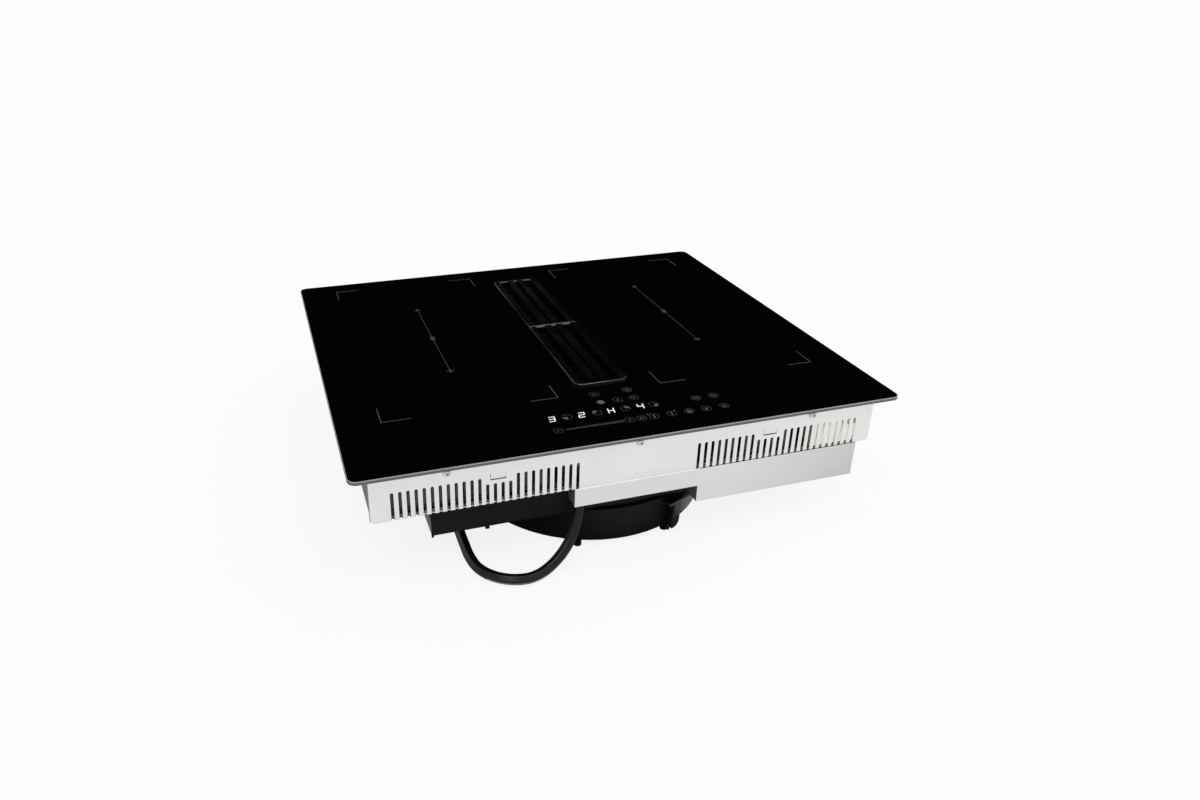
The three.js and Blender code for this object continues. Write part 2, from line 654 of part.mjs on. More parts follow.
for (const [name, side] of [['side_panel_left', -1], ['side_panel_right', 1]]) {
  const outer = side * SIDE_OUTER;
  const inner = side * (SIDE_OUTER - SHEET);
  const reach = CASE_REAR - SHEET - GAP;
  addPart(name, block(
    Math.min(outer, inner), Math.max(outer, inner), -reach, reach, CASE_UNDER + SHEET + GAP, CASE_TOP,
  ), zincSheet);
}

function bottomPan() {
  const reach = CASE_REAR - SHEET - LAP_FLANGE - GAP;
  const pan = block(-PAN_SIDE, PAN_SIDE, -reach, reach, CASE_UNDER, CASE_UNDER + SHEET);
  const wellHole = block(
    -WELL_WIDTH / 2, WELL_WIDTH / 2, WELL_FRONT, WELL_OPENING_REAR, CASE_UNDER - SHEET, CASE_FLOOR,
  );
  const cuts = [wellHole, gripHole()];
  const inletPitch = 2 * FAN_BORE_RADIUS / PAN_INLET_SLOTS;
  for (const side of [-1, 1]) {
    for (let i = 0; i < PAN_INLET_SLOTS; i += 1) {
      const x = side * FAN_X + (i - (PAN_INLET_SLOTS - 1) / 2) * inletPitch;
      cuts.push(block(
        x - SLOT_WIDTH / 2, x + SLOT_WIDTH / 2, FAN_Y - FAN_BORE_RADIUS + FAN_ARM_WIDTH,
        FAN_Y + FAN_BORE_RADIUS - FAN_ARM_WIDTH, CASE_UNDER - SHEET, CASE_FLOOR + SHEET,
      ));
    }
  }
  return shaped([pan], cuts);
}
addPart('bottom_pan', bottomPan(), zincSheet);

// Panhead screws through the front and rear panels
function casingScrew() {
  const head = SCREW_HEAD_THICKNESS;
  return turned([
    [0, -SCREW_LENGTH], [SCREW_RADIUS, -SCREW_LENGTH], [SCREW_RADIUS, GAP], [SCREW_HEAD_RADIUS, GAP],
    [SCREW_HEAD_RADIUS, GAP + head / 2], [SCREW_HEAD_RADIUS - head / 2, GAP + head], [0, GAP + head],
  ], 12);
}
const screwNames = ['left', 'centre', 'right'];
screwPlaces.forEach((x, i) => {
  const front = addPart(`front_screw_${screwNames[i]}`, casingScrew(), screwSteel);
  front.position.set(x, CASE_FRONT, SCREW_Z);
  front.rotation.x = Math.PI / 2;
  const rear = addPart(`rear_screw_${screwNames[i]}`, casingScrew(), screwSteel);
  rear.position.set(x, CASE_REAR, SCREW_Z);
  rear.rotation.x = -Math.PI / 2;
});

// ---------------------------------------------------------------------------------------------------
// Under the casing: middle lip, electronics box and plenum
// ---------------------------------------------------------------------------------------------------
function frontLip() {
  const half = LIP_WIDTH / 2;
  const under = CASE_UNDER - LIP_HEIGHT;
  const whole = block(-half, half, CASE_FRONT, CASE_FRONT + LIP_DEPTH, under, HANGING_TOP);
  const behind = block(
    -half + SHEET, half, CASE_FRONT + SHEET, CASE_FRONT + LIP_DEPTH + SHEET,
    under - SHEET, HANGING_TOP + SHEET,
  );
  const boxSide = block(
    ELECTRONICS_LEFT - GAP, half + SHEET, CASE_FRONT - SHEET, CASE_FRONT + LIP_DEPTH + SHEET,
    under - SHEET, HANGING_TOP + SHEET,
  );
  return shaped([whole], [behind, boxSide]);
}
addPart('front_lip', frontLip(), zincSheet);

function openBox(x0, x1, y0, y1, z0, z1, wall) {
  return [
    block(x0, x1, y0, y1, z0, z1),
    block(x0 + wall, x1 - wall, y0 + wall, y1 - wall, z0 + wall, z1 + wall),
  ];
}

function electronicsBox() {
  const [body, space] = openBox(
    ELECTRONICS_LEFT, ELECTRONICS_RIGHT, CASE_FRONT, ELECTRONICS_REAR, BOX_UNDER, HANGING_TOP, SHEET,
  );
  return shaped([body], [space]);
}
addPart('electronics_box', electronicsBox(), zincSheet);

function plenumBox() {
  const [body, space] = openBox(
    PLENUM_LEFT, PLENUM_RIGHT, PLENUM_FRONT, PLENUM_REAR, BOX_UNDER, HANGING_TOP, MOULDING_WALL,
  );
  const inlet = post(0, DRUM_CENTRE_Y, INLET_RADIUS, BOX_UNDER - GAP, BOX_UNDER + 2 * MOULDING_WALL, 36);
  return shaped([body], [space, inlet]);
}
addPart('plenum_box', plenumBox(), blackMoulding);

// ---------------------------------------------------------------------------------------------------
// Fan housing: inlet plate, drum with feet, side clip and outlet duct
// ---------------------------------------------------------------------------------------------------
const inletPlate = addPart(
  'fan_inlet_plate', ring(INLET_RADIUS, DRUM_RADIUS - MOULDING_WALL, PLATE_UNDER, PLATE_TOP, 48),
  blackMoulding,
);
inletPlate.position.y = DRUM_CENTRE_Y;

function drumOutlet() {
  const half = DUCT_WIDTH / 2 - 2 * MOULDING_WALL;
  return block(
    -half, half, -DRUM_CENTRE_Y, 2 * DRUM_RADIUS,
    DRUM_FLOOR + MOULDING_WALL, DRUM_RIM_TOP - DRUM_RIM_HEIGHT,
  );
}

function fanDrum() {
  const rimOuter = DRUM_RADIUS + DRUM_RIM;
  const shell = turned([
    [0, FOOT_LENGTH], [DRUM_RADIUS - MOULDING_WALL, FOOT_LENGTH], [DRUM_RADIUS, FOOT_LENGTH + MOULDING_WALL],
    [DRUM_RADIUS, DRUM_RIM_TOP - DRUM_RIM_HEIGHT], [rimOuter, DRUM_RIM_TOP - DRUM_RIM_HEIGHT],
    [rimOuter, DRUM_RIM_TOP], [DRUM_RADIUS - MOULDING_WALL, DRUM_RIM_TOP],
    [DRUM_RADIUS - MOULDING_WALL, DRUM_FLOOR], [0, DRUM_FLOOR],
  ], 64);
  const feet = [];
  for (let i = 0; i < FOOT_COUNT; i += 1) {
    const angle = 2 * Math.PI * (i + 0.5) / FOOT_COUNT;
    feet.push(post(
      FEET_CIRCLE_RADIUS * Math.cos(angle), FEET_CIRCLE_RADIUS * Math.sin(angle), FOOT_RADIUS,
      0, FOOT_LENGTH + MOULDING_WALL, 12,
    ));
  }
  return shaped([shell, ...feet], [drumOutlet()]);
}
addPart('fan_drum', fanDrum(), blackMoulding).position.y = DRUM_CENTRE_Y;

// The clip stands against the drum's rim: a plate on top and a leg with a rounded foot below it
function drumClip() {
  const inner = DRUM_RADIUS + DRUM_RIM + GAP;
  const legOuter = inner + CLIP_LEG_DEPTH;
  const footRadius = CLIP_LEG_DEPTH / 2;
  const profile = new THREE.Shape();
  profile.moveTo(inner, FOOT_LENGTH + GAP);
  profile.absarc(legOuter - footRadius, FOOT_LENGTH + GAP + footRadius, footRadius, -Math.PI / 2, 0);
  profile.lineTo(legOuter, DRUM_RIM_TOP);
  profile.lineTo(inner, DRUM_RIM_TOP);
  const leg = new THREE.ExtrudeGeometry(
    profile, { depth: CLIP_LEG_WIDTH, bevelEnabled: false, curveSegments: 5 },
  )
    .rotateX(Math.PI / 2)
    .translate(0, CLIP_LEG_WIDTH / 2, 0);
  const plateTop = BOX_UNDER - 2 * GAP;
  const plate = block(
    inner, inner + CLIP_PLATE_DEPTH, -CLIP_PLATE_WIDTH / 2, CLIP_PLATE_WIDTH / 2,
    plateTop - CLIP_PLATE_THICKNESS, plateTop,
  );
  const neck = block(
    inner, legOuter, -CLIP_LEG_WIDTH / 2, CLIP_LEG_WIDTH / 2,
    DRUM_RIM_TOP - GAP, plateTop - CLIP_PLATE_THICKNESS / 2,
  );
  return shaped([leg, plate, neck]);
}
const clip = addPart('drum_clip', drumClip(), blackMoulding);
clip.position.y = DRUM_CENTRE_Y;
clip.rotation.z = radians(CLIP_ANGLE);

// Side view of the outlet duct, grown inwards by the wall for its bore
function ductProfile(wall) {
  const lowTop = PLATE_TOP - wall;
  const highTop = HANGING_TOP - wall;
  const under = HANGING_TOP - DUCT_HEIGHT + wall;
  const front = DRUM_CENTRE_Y;
  const rear = DUCT_REAR + (wall > 0 ? MOULDING_WALL : 0);
  const profile = new THREE.Shape();
  profile.moveTo(front, under).lineTo(rear, under).lineTo(rear, highTop);
  profile.lineTo(DUCT_STEP_REAR, highTop).lineTo(DUCT_STEP_FRONT, lowTop).lineTo(front, lowTop);
  return profile;
}

// A profile in the YZ plane, drawn across X
function acrossX(profile, halfWidth) {
  return new THREE.ExtrudeGeometry(profile, { depth: 2 * halfWidth, bevelEnabled: false })
    .applyMatrix4(new THREE.Matrix4().makeBasis(
      new THREE.Vector3(0, 1, 0), new THREE.Vector3(0, 0, 1), new THREE.Vector3(1, 0, 0),
    ))
    .translate(-halfWidth, 0, 0);
}

function outletDuct() {
  const half = DUCT_WIDTH / 2;
  const under = HANGING_TOP - DUCT_HEIGHT;
  const stop = block(
    -half - DUCT_STOP, half + DUCT_STOP, DUCT_STOP_Y - DUCT_STOP, DUCT_STOP_Y,
    under - DUCT_STOP / 2, HANGING_TOP,
  );
  const drumRoom = post(
    0, DRUM_CENTRE_Y, DRUM_RADIUS + DRUM_RIM + GAP, -GAP, CASE_UNDER, 64,
  );
  return shaped(
    [acrossX(ductProfile(0), half), stop],
    [acrossX(ductProfile(MOULDING_WALL), half - MOULDING_WALL), drumRoom],
  );
}
addPart('outlet_duct', outletDuct(), blackMoulding);

// ---------------------------------------------------------------------------------------------------
// Fan motor, shaft and wheel
// ---------------------------------------------------------------------------------------------------
const MOTOR_UNDER = DRUM_FLOOR + GAP;
const MOTOR_TOP = MOTOR_UNDER + MOTOR_HEIGHT;
const SHAFT_UNDER = MOTOR_TOP - SHAFT_LENGTH / 2;
const SHAFT_TOP = SHAFT_UNDER + SHAFT_LENGTH;
const WHEEL_UNDER = DRUM_FLOOR + WHEEL_CLEARANCE;
const WHEEL_TOP = PLATE_UNDER - WHEEL_CLEARANCE;

const motor = addPart('fan_motor', turned([
  [0, MOTOR_UNDER], [MOTOR_RADIUS, MOTOR_UNDER], [MOTOR_RADIUS, MOTOR_TOP],
  [SHAFT_RADIUS + GAP, MOTOR_TOP], [SHAFT_RADIUS + GAP, SHAFT_UNDER - GAP], [0, SHAFT_UNDER - GAP],
], 32), motorSteel);
motor.position.y = DRUM_CENTRE_Y;

const shaft = addPart(
  'fan_shaft', new THREE.CylinderGeometry(SHAFT_RADIUS, SHAFT_RADIUS, SHAFT_LENGTH, 16).rotateX(Math.PI / 2),
  motorSteel,
);
shaft.position.set(0, DRUM_CENTRE_Y, (SHAFT_UNDER + SHAFT_TOP) / 2);

// One blade, seen from above: a thin strip that sweeps back from the eye to the rim
function fanBlade() {
  const inner = WHEEL_EYE_RADIUS + WHEEL_PLATE;
  const outer = WHEEL_RADIUS - WHEEL_PLATE;
  const steps = 3;
  const edge = (side) => Array.from({ length: steps + 1 }, (_, i) => {
    const share = i / steps;
    const radius = inner + (outer - inner) * share;
    const angle = radians(BLADE_SWEEP) * share + side * BLADE_THICKNESS / 2 / radius;
    return new THREE.Vector2(radius * Math.cos(angle), radius * Math.sin(angle));
  });
  return new THREE.Shape([...edge(-1), ...edge(1).reverse()]);
}

// The shroud ring with its blades, one moulding that stands on the hub's back plate
function fanWheel() {
  const shroud = ring(WHEEL_EYE_RADIUS, WHEEL_RADIUS, WHEEL_TOP - WHEEL_PLATE, WHEEL_TOP, 40);
  const blades = [];
  for (let i = 0; i < BLADE_COUNT; i += 1) {
    blades.push(
      prism(fanBlade(), WHEEL_UNDER + WHEEL_PLATE + GAP, WHEEL_TOP - WHEEL_PLATE / 2)
        .rotateZ(2 * Math.PI * i / BLADE_COUNT),
    );
  }
  return shaped([shroud, ...blades]);
}
addPart('fan_wheel', fanWheel(), wheelPlastic).position.y = DRUM_CENTRE_Y;

// The hub: a back plate with a dome over the motor and a bore for the shaft
function wheelHub() {
  const domeInner = MOTOR_RADIUS + RUNNING_CLEARANCE;
  const domeOuter = domeInner + WHEEL_PLATE;
  const domeUnder = MOTOR_TOP + RUNNING_CLEARANCE;
  const bore = SHAFT_RADIUS + GAP;
  return turned([
    [bore, domeUnder], [domeInner, domeUnder], [domeInner, WHEEL_UNDER], [WHEEL_RADIUS, WHEEL_UNDER],
    [WHEEL_RADIUS, WHEEL_UNDER + WHEEL_PLATE], [domeOuter, WHEEL_UNDER + WHEEL_PLATE],
    [domeOuter, domeUnder + WHEEL_PLATE], [bore, domeUnder + WHEEL_PLATE], [bore, domeUnder],
  ], 40);
}
addPart('fan_wheel_hub', wheelHub(), wheelPlastic).position.y = DRUM_CENTRE_Y;

// ---------------------------------------------------------------------------------------------------
// Four induction coils on their carriers, over two aluminium plates
// ---------------------------------------------------------------------------------------------------
function coilCarrier() {
  const disc = ring(COIL_BORE / 2, CARRIER_RADIUS, CARRIER_UNDER + CARRIER_THICKNESS / 2, CARRIER_TOP, 40);
  const bars = [];
  for (let i = 0; i < FERRITE_COUNT; i += 1) {
    bars.push(
      block(
        COIL_BORE, CARRIER_RADIUS - FERRITE_WIDTH / 2, -FERRITE_WIDTH / 2, FERRITE_WIDTH / 2,
        CARRIER_UNDER, CARRIER_TOP - CARRIER_THICKNESS / 4,
      ).rotateZ(2 * Math.PI * i / FERRITE_COUNT),
    );
  }
  return shaped([disc, ...bars]);
}

const coilPlaces = [
  ['left_front', -COIL_X, COIL_FRONT_Y],
  ['left_rear', -COIL_X, COIL_REAR_Y],
  ['right_front', COIL_X, COIL_FRONT_Y],
  ['right_rear', COIL_X, COIL_REAR_Y],
];
for (const [place, x, y] of coilPlaces) {
  addPart(`coil_${place}`, ring(COIL_BORE, COIL_RADIUS, COIL_UNDER, COIL_TOP, 40), copperLitz)
    .position.set(x, y, 0);
  addPart(`coil_carrier_${place}`, coilCarrier(), carrierPlastic).position.set(x, y, 0);
}

// A plate with its front and rear edges folded down to the casing's floor
function coilPlate(side) {
  const x0 = Math.min(side * COIL_PLATE_INNER, side * COIL_PLATE_OUTER);
  const x1 = Math.max(side * COIL_PLATE_INNER, side * COIL_PLATE_OUTER);
  const thick = COIL_PLATE_THICKNESS;
  const body = block(x0, x1, COIL_PLATE_FRONT, COIL_PLATE_REAR, CASE_FLOOR, COIL_PLATE_TOP);
  const under = block(
    x0 - thick, x1 + thick, COIL_PLATE_FRONT + thick, COIL_PLATE_REAR - thick,
    CASE_FLOOR - thick, COIL_PLATE_TOP - thick,
  );
  const wayInner = BOARD_INNER - BOARD_WAY_CLEARANCE;
  const wayOuter = BOARD_OUTER + BOARD_WAY_CLEARANCE;
  const boardWay = block(
    Math.min(side * wayInner, side * wayOuter), Math.max(side * wayInner, side * wayOuter),
    COIL_PLATE_FRONT - thick, COIL_PLATE_FRONT + 2 * thick, CASE_FLOOR - thick, CASE_FLOOR + SINK_HEIGHT,
  );
  return shaped([body], [under, boardWay]);
}
addPart('coil_plate_left', coilPlate(-1), bareAluminium);
addPart('coil_plate_right', coilPlate(1), bareAluminium);

// ---------------------------------------------------------------------------------------------------
// Power boards, heat sinks and cooling fans in the casing
// ---------------------------------------------------------------------------------------------------
function board(x0, x1, y0, y1, floor) {
  const under = floor + BOARD_STANDOFF;
  const plate = block(x0, x1, y0, y1, under, under + BOARD_THICKNESS);
  const inset = 2 * STANDOFF_RADIUS;
  const legs = [];
  for (const x of [x0 + inset, x1 - inset]) {
    for (const y of [y0 + inset, y1 - inset]) {
      legs.push(post(x, y, STANDOFF_RADIUS, floor, under + BOARD_THICKNESS / 2, 8));
    }
  }
  return shaped([plate, ...legs]);
}

// Extruded heat sink with upright fins along Y
function heatSink(x0) {
  const comb = new THREE.Shape();
  const pitch = (SINK_WIDTH - SINK_FIN_THICKNESS) / (SINK_FINS - 1);
  comb.moveTo(0, 0).lineTo(SINK_WIDTH, 0);
  for (let i = SINK_FINS - 1; i >= 0; i -= 1) {
    const left = i * pitch;
    comb.lineTo(left + SINK_FIN_THICKNESS, i === SINK_FINS - 1 ? SINK_HEIGHT : SINK_BASE);
    if (i < SINK_FINS - 1) comb.lineTo(left + SINK_FIN_THICKNESS, SINK_HEIGHT);
    comb.lineTo(left, SINK_HEIGHT);
    if (i > 0) comb.lineTo(left, SINK_BASE);
  }
  return new THREE.ExtrudeGeometry(comb, { depth: SINK_LENGTH, bevelEnabled: false })
    .rotateX(Math.PI / 2)
    .translate(x0, SINK_FRONT + SINK_LENGTH, BOARD_TOP + GAP);
}

// Square fan frame with a round bore, and three arms at the top that carry the motor cup
function fanFrame() {
  const half = FAN_SIZE / 2;
  const top = CASE_FLOOR + FAN_HEIGHT;
  const body = block(-half, half, -half, half, CASE_FLOOR, top);
  const bore = post(0, 0, FAN_BORE_RADIUS, CASE_FLOOR - GAP, top + GAP, 32);
  const cup = post(0, 0, FAN_HUB_RADIUS, top - FAN_ARM_THICKNESS, top, 20);
  const arms = [0, 1, 2].map((i) => block(
    0, FAN_BORE_RADIUS + 1, -FAN_ARM_WIDTH / 2, FAN_ARM_WIDTH / 2, top - FAN_ARM_THICKNESS, top,
  ).rotateZ(2 * Math.PI * i / 3));
  let frame = solid(body).subtract(solid(bore));
  for (const piece of [cup, ...arms]) frame = frame.add(solid(piece));
  return geometryOf(frame);
}

function fanRotor() {
  const under = CASE_FLOOR + RUNNING_CLEARANCE;
  const top = CASE_FLOOR + FAN_HEIGHT - FAN_ARM_THICKNESS - GAP;
  const middle = (under + top) / 2;
  const tip = FAN_BORE_RADIUS - RUNNING_CLEARANCE;
  const hub = post(0, 0, FAN_HUB_RADIUS, under, top, 20);
  const blades = [];
  for (let i = 0; i < FAN_BLADES; i += 1) {
    blades.push(
      block(
        FAN_HUB_RADIUS / 2, tip - 1, -FAN_BLADE_CHORD / 2, FAN_BLADE_CHORD / 2,
        -FAN_BLADE_THICKNESS / 2, FAN_BLADE_THICKNESS / 2,
      )
        .rotateX(radians(FAN_BLADE_PITCH))
        .translate(0, 0, middle)
        .rotateZ(2 * Math.PI * i / FAN_BLADES),
    );
  }
  return shaped([hub, ...blades]);
}

for (const [place, side] of [['left', -1], ['right', 1]]) {
  const x0 = Math.min(side * BOARD_INNER, side * BOARD_OUTER);
  const x1 = Math.max(side * BOARD_INNER, side * BOARD_OUTER);
  addPart(`power_board_${place}`, board(x0, x1, BOARD_FRONT, BOARD_REAR, CASE_FLOOR), circuitBoard);
  addPart(
    `heat_sink_${place}`, heatSink(side > 0 ? SINK_LEFT : -SINK_LEFT - SINK_WIDTH), bareAluminium,
  );
  addPart(`cooling_fan_${place}`, fanFrame(), blackMoulding).position.set(side * FAN_X, FAN_Y, 0);
  addPart(`cooling_rotor_${place}`, fanRotor(), wheelPlastic).position.set(side * FAN_X, FAN_Y, 0);
}

// Control board in the electronics box
const boxFloor = BOX_UNDER + SHEET + GAP;
const boardInset = 8;
addPart('control_board', board(
  ELECTRONICS_LEFT + boardInset, ELECTRONICS_RIGHT - boardInset,
  CASE_FRONT + boardInset, ELECTRONICS_REAR - boardInset, boxFloor,
), circuitBoard);

// ---------------------------------------------------------------------------------------------------
// Touch control under the front of the glass
// ---------------------------------------------------------------------------------------------------
const TOUCH_BOARD_TOP = GLASS_UNDER - COIL_TO_GLASS;
const TOUCH_BOARD_UNDER = TOUCH_BOARD_TOP - DISPLAY_HEIGHT - GAP - BOARD_THICKNESS;
const TRAY_TOP = TOUCH_BOARD_UNDER - GAP;

function touchTray() {
  const plate = block(
    TOUCH_LEFT, TOUCH_RIGHT, TOUCH_FRONT, TOUCH_REAR, TRAY_TOP - TOUCH_TRAY_THICKNESS, TRAY_TOP,
  );
  const legs = [-COIL_PLATE_INNER, COIL_PLATE_INNER].map((x) => block(
    x - TOUCH_LEG / 2, x + TOUCH_LEG / 2, TOUCH_REAR - TOUCH_LEG, TOUCH_REAR, CASE_FLOOR, TRAY_TOP - GAP,
  ));
  return shaped([plate, ...legs]);
}
addPart('touch_tray', touchTray(), carrierPlastic);
addPart('touch_board', block(
  TOUCH_LEFT + GAP, TOUCH_RIGHT - GAP, TOUCH_FRONT + GAP, TOUCH_REAR - GAP,
  TOUCH_BOARD_UNDER, TOUCH_BOARD_UNDER + BOARD_THICKNESS,
), circuitBoard);
addPart('digit_display', block(
  DISPLAY_LEFT, DISPLAY_RIGHT, DISPLAY_FRONT, DISPLAY_REAR,
  TOUCH_BOARD_UNDER + BOARD_THICKNESS + GAP, TOUCH_BOARD_TOP,
), displayWindow);

// ---------------------------------------------------------------------------------------------------
// Mains lead: terminal block, cord grip, free stretch, coil and stripped cores
// ---------------------------------------------------------------------------------------------------
addPart('terminal_block', block(
  TERMINAL_LEFT, TERMINAL_RIGHT, TERMINAL_FRONT, TERMINAL_REAR, CASE_FLOOR, CASE_FLOOR + TERMINAL_HEIGHT,
), terminalPlastic);

const gripTip = HANGING_TOP - GRIP_LENGTH;
const grip = addPart('cord_grip', turned([
  [0, gripTip], [GRIP_TIP_RADIUS, gripTip], [GRIP_RADIUS, HANGING_TOP - GRIP_LENGTH / 2],
  [GRIP_RADIUS, HANGING_TOP], [GRIP_NECK_RADIUS, HANGING_TOP], [GRIP_NECK_RADIUS, CASE_FLOOR],
  [GRIP_RADIUS, CASE_FLOOR], [GRIP_RADIUS, CASE_FLOOR + GRIP_NUT_THICKNESS],
  [0, CASE_FLOOR + GRIP_NUT_THICKNESS],
], 20), blackMoulding);
grip.position.set(CORD_X, CORD_Y, 0);

// The lead drops from its grip, bends out in front of the drum, and runs back on the bench to its coil
const CORD_RADIUS = CORD_DIAMETER / 2;
const CORD_LAY = CORD_RADIUS + 0.2; // height of its centre on the bench
const coilStart = new THREE.Vector2(COIL_CENTRE.x + COIL_START_RADIUS, COIL_CENTRE.y);
const cordRoute = [
  [CORD_X, CORD_Y, gripTip - GAP],
  [CORD_X, CORD_Y, 64],
  [-61, -233, 57],
  [-63.8, -235, 47.5],
  [-68.5, -238.2, 38],
  [-75.5, -242.3, 28.5],
  [-85, -246.8, 19.6],
  [-96.5, -251, 12.3],
  [-109, -254.4, 7.7],
  [-122, -256, CORD_LAY],
  [-139, -253, CORD_LAY],
  [-155.8, -242.4, CORD_LAY],
  [-167.3, -226, CORD_LAY],
  [-171.3, -206, CORD_LAY],
  [-171.5, -180, CORD_LAY],
  [-170, -130, CORD_LAY],
  [-165, -70, CORD_LAY],
  [-154, -10, CORD_LAY],
  [-138, 50, CORD_LAY],
  [-126, 100, CORD_LAY],
  [coilStart.x - 0.6, 120, CORD_LAY],
  [coilStart.x, coilStart.y - CORD_DIAMETER - GAP, CORD_LAY],
].map(([x, y, z]) => new THREE.Vector3(x, y, z));

// A tube of a round section along a curve, with flat ends
function tube(curve, radius, sides, steps) {
  const section = new THREE.Shape(Array.from({ length: sides }, (_, i) => {
    const angle = 2 * Math.PI * i / sides;
    return new THREE.Vector2(radius * Math.cos(angle), radius * Math.sin(angle));
  }));
  return new THREE.ExtrudeGeometry(section, { steps, extrudePath: curve, bevelEnabled: false });
}
const cordCurve = new THREE.CatmullRomCurve3(cordRoute, false, 'centripetal');
addPart('mains_cord', tube(cordCurve, CORD_RADIUS, 10, 36), cordSheath);

// The coil lies flat and winds inwards; its last quarter turn tucks in, clear of the turn outside it
class CoilCurve extends THREE.Curve {
  getPoint(share, target = new THREE.Vector3()) {
    const turn = share * COIL_TURNS;
    const tuck = Math.max(0, (turn - COIL_TURNS + 0.25) / 0.25);
    const radius = COIL_START_RADIUS - COIL_PITCH * turn - COIL_TUCK * tuck * tuck;
    const angle = 2 * Math.PI * turn;
    return target.set(
      COIL_CENTRE.x + radius * Math.cos(angle), COIL_CENTRE.y + radius * Math.sin(angle), CORD_LAY,
    );
  }
}

// Rings of points round the coil's centre line, with a straight end one diameter long at each end
function coilTube() {
  const spiral = new CoilCurve();
  const steps = Math.ceil(COIL_TURNS * LOOP_STEPS);
  const centres = Array.from({ length: steps + 1 }, (_, i) => spiral.getPoint(i / steps));
  const inDirection = new THREE.Vector3(0, 1, 0);
  const outDirection = centres[steps].clone().sub(centres[steps - 1]).normalize();
  centres.unshift(centres[0].clone().addScaledVector(inDirection, -CORD_DIAMETER));
  centres.push(centres[steps + 1].clone().addScaledVector(outDirection, CORD_DIAMETER));
  reportLeastGap(centres);
  const last = centres.length - 1;
  const positions = [];
  const triangles = [];
  centres.forEach((centre, i) => {
    const before = centres[Math.max(i - 1, 0)];
    const after = centres[Math.min(i + 1, last)];
    const along = i === 0 ? inDirection : after.clone().sub(before).normalize();
    const sideways = new THREE.Vector3(along.y, -along.x, 0);
    for (let k = 0; k < LOOP_SIDES; k += 1) {
      const angle = 2 * Math.PI * (k + 0.5) / LOOP_SIDES;
      positions.push(
        centre.x + sideways.x * CORD_RADIUS * Math.cos(angle),
        centre.y + sideways.y * CORD_RADIUS * Math.cos(angle),
        centre.z + CORD_RADIUS * Math.sin(angle),
      );
      if (i < last) {
        const a = i * LOOP_SIDES + k;
        const b = i * LOOP_SIDES + (k + 1) % LOOP_SIDES;
        triangles.push(a, b + LOOP_SIDES, b, a, a + LOOP_SIDES, b + LOOP_SIDES);
      }
    }
  });
  for (let k = 1; k < LOOP_SIDES - 1; k += 1) {
    const end = last * LOOP_SIDES;
    triangles.push(0, k, k + 1, end, end + k + 1, end + k);
  }
  const geometry = new THREE.BufferGeometry();
  geometry.setAttribute('position', new THREE.Float32BufferAttribute(positions, 3));
  geometry.setIndex(triangles);
  return { geometry, end: centres[last], direction: outDirection };
}

// The least gap between one stretch of the coil and another more than a quarter turn away
function reportLeastGap(centres) {
  let least = Infinity;
  for (let i = 0; i < centres.length - 1; i += 1) {
    for (let j = i + LOOP_STEPS / 4; j < centres.length - 1; j += 1) {
      for (const share of [0, 0.25, 0.5, 0.75, 1]) {
        const point = centres[i].clone().lerp(centres[i + 1], share);
        const stretch = new THREE.Line3(centres[j], centres[j + 1]);
        const nearest = stretch.closestPointToPoint(point, true, new THREE.Vector3());
        least = Math.min(least, nearest.distanceTo(point) - CORD_DIAMETER);
      }
    }
  }
  console.log(`cord_coil: least gap ${least.toFixed(2)} mm`);
}
const coil = coilTube();
addPart('cord_coil', coil.geometry, cordSheath);

// Three stripped cores that part from the end of the sheath
function strippedCores() {
  const start = coil.end.clone().addScaledVector(coil.direction, GAP);
  const inward = new THREE.Vector3(-coil.direction.y, coil.direction.x, 0);
  const along = (distance, aside) => start.clone()
    .addScaledVector(coil.direction, distance)
    .addScaledVector(inward, aside);
  const stub = new THREE.LineCurve3(start, along(CORE_RADIUS, 0));
  const pieces = [tube(stub, CORD_RADIUS - 1, 10, 1)];
  for (const fan of [-1, 0, 1]) {
    const path = new THREE.QuadraticBezierCurve3(
      along(CORE_RADIUS / 2, fan * CORE_RADIUS),
      along(CORE_LENGTH / 2, fan * CORE_SPREAD / 2),
      along(CORE_LENGTH, CORE_BEND + fan * CORE_SPREAD),
    );
    pieces.push(tube(path, CORE_RADIUS, 6, 6));
  }
  return shaped(pieces);
}
addPart('cord_cores', strippedCores(), coreInsulation);

export default cooktop;
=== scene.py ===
import json
import math

import bmesh
import bpy
from bmesh.types import BMEdge, BMFace, BMVert
from mathutils import Matrix, Vector

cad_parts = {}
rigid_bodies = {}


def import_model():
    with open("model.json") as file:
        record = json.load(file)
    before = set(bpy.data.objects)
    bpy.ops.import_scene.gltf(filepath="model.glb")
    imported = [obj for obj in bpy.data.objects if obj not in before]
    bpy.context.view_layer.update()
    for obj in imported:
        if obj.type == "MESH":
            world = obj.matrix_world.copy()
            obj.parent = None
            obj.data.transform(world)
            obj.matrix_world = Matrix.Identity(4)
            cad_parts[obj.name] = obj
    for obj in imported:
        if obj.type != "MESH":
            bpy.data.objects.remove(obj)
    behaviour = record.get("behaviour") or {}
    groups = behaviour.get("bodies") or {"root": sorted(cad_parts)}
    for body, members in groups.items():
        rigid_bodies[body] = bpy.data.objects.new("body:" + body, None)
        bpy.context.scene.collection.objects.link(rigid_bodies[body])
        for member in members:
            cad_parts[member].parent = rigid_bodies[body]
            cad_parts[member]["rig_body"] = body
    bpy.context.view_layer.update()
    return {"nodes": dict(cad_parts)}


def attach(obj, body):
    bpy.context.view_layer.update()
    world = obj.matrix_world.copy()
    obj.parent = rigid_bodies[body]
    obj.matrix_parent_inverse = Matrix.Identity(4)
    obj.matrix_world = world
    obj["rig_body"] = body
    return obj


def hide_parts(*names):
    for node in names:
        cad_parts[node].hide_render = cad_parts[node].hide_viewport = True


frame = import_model()
nodes = frame["nodes"]

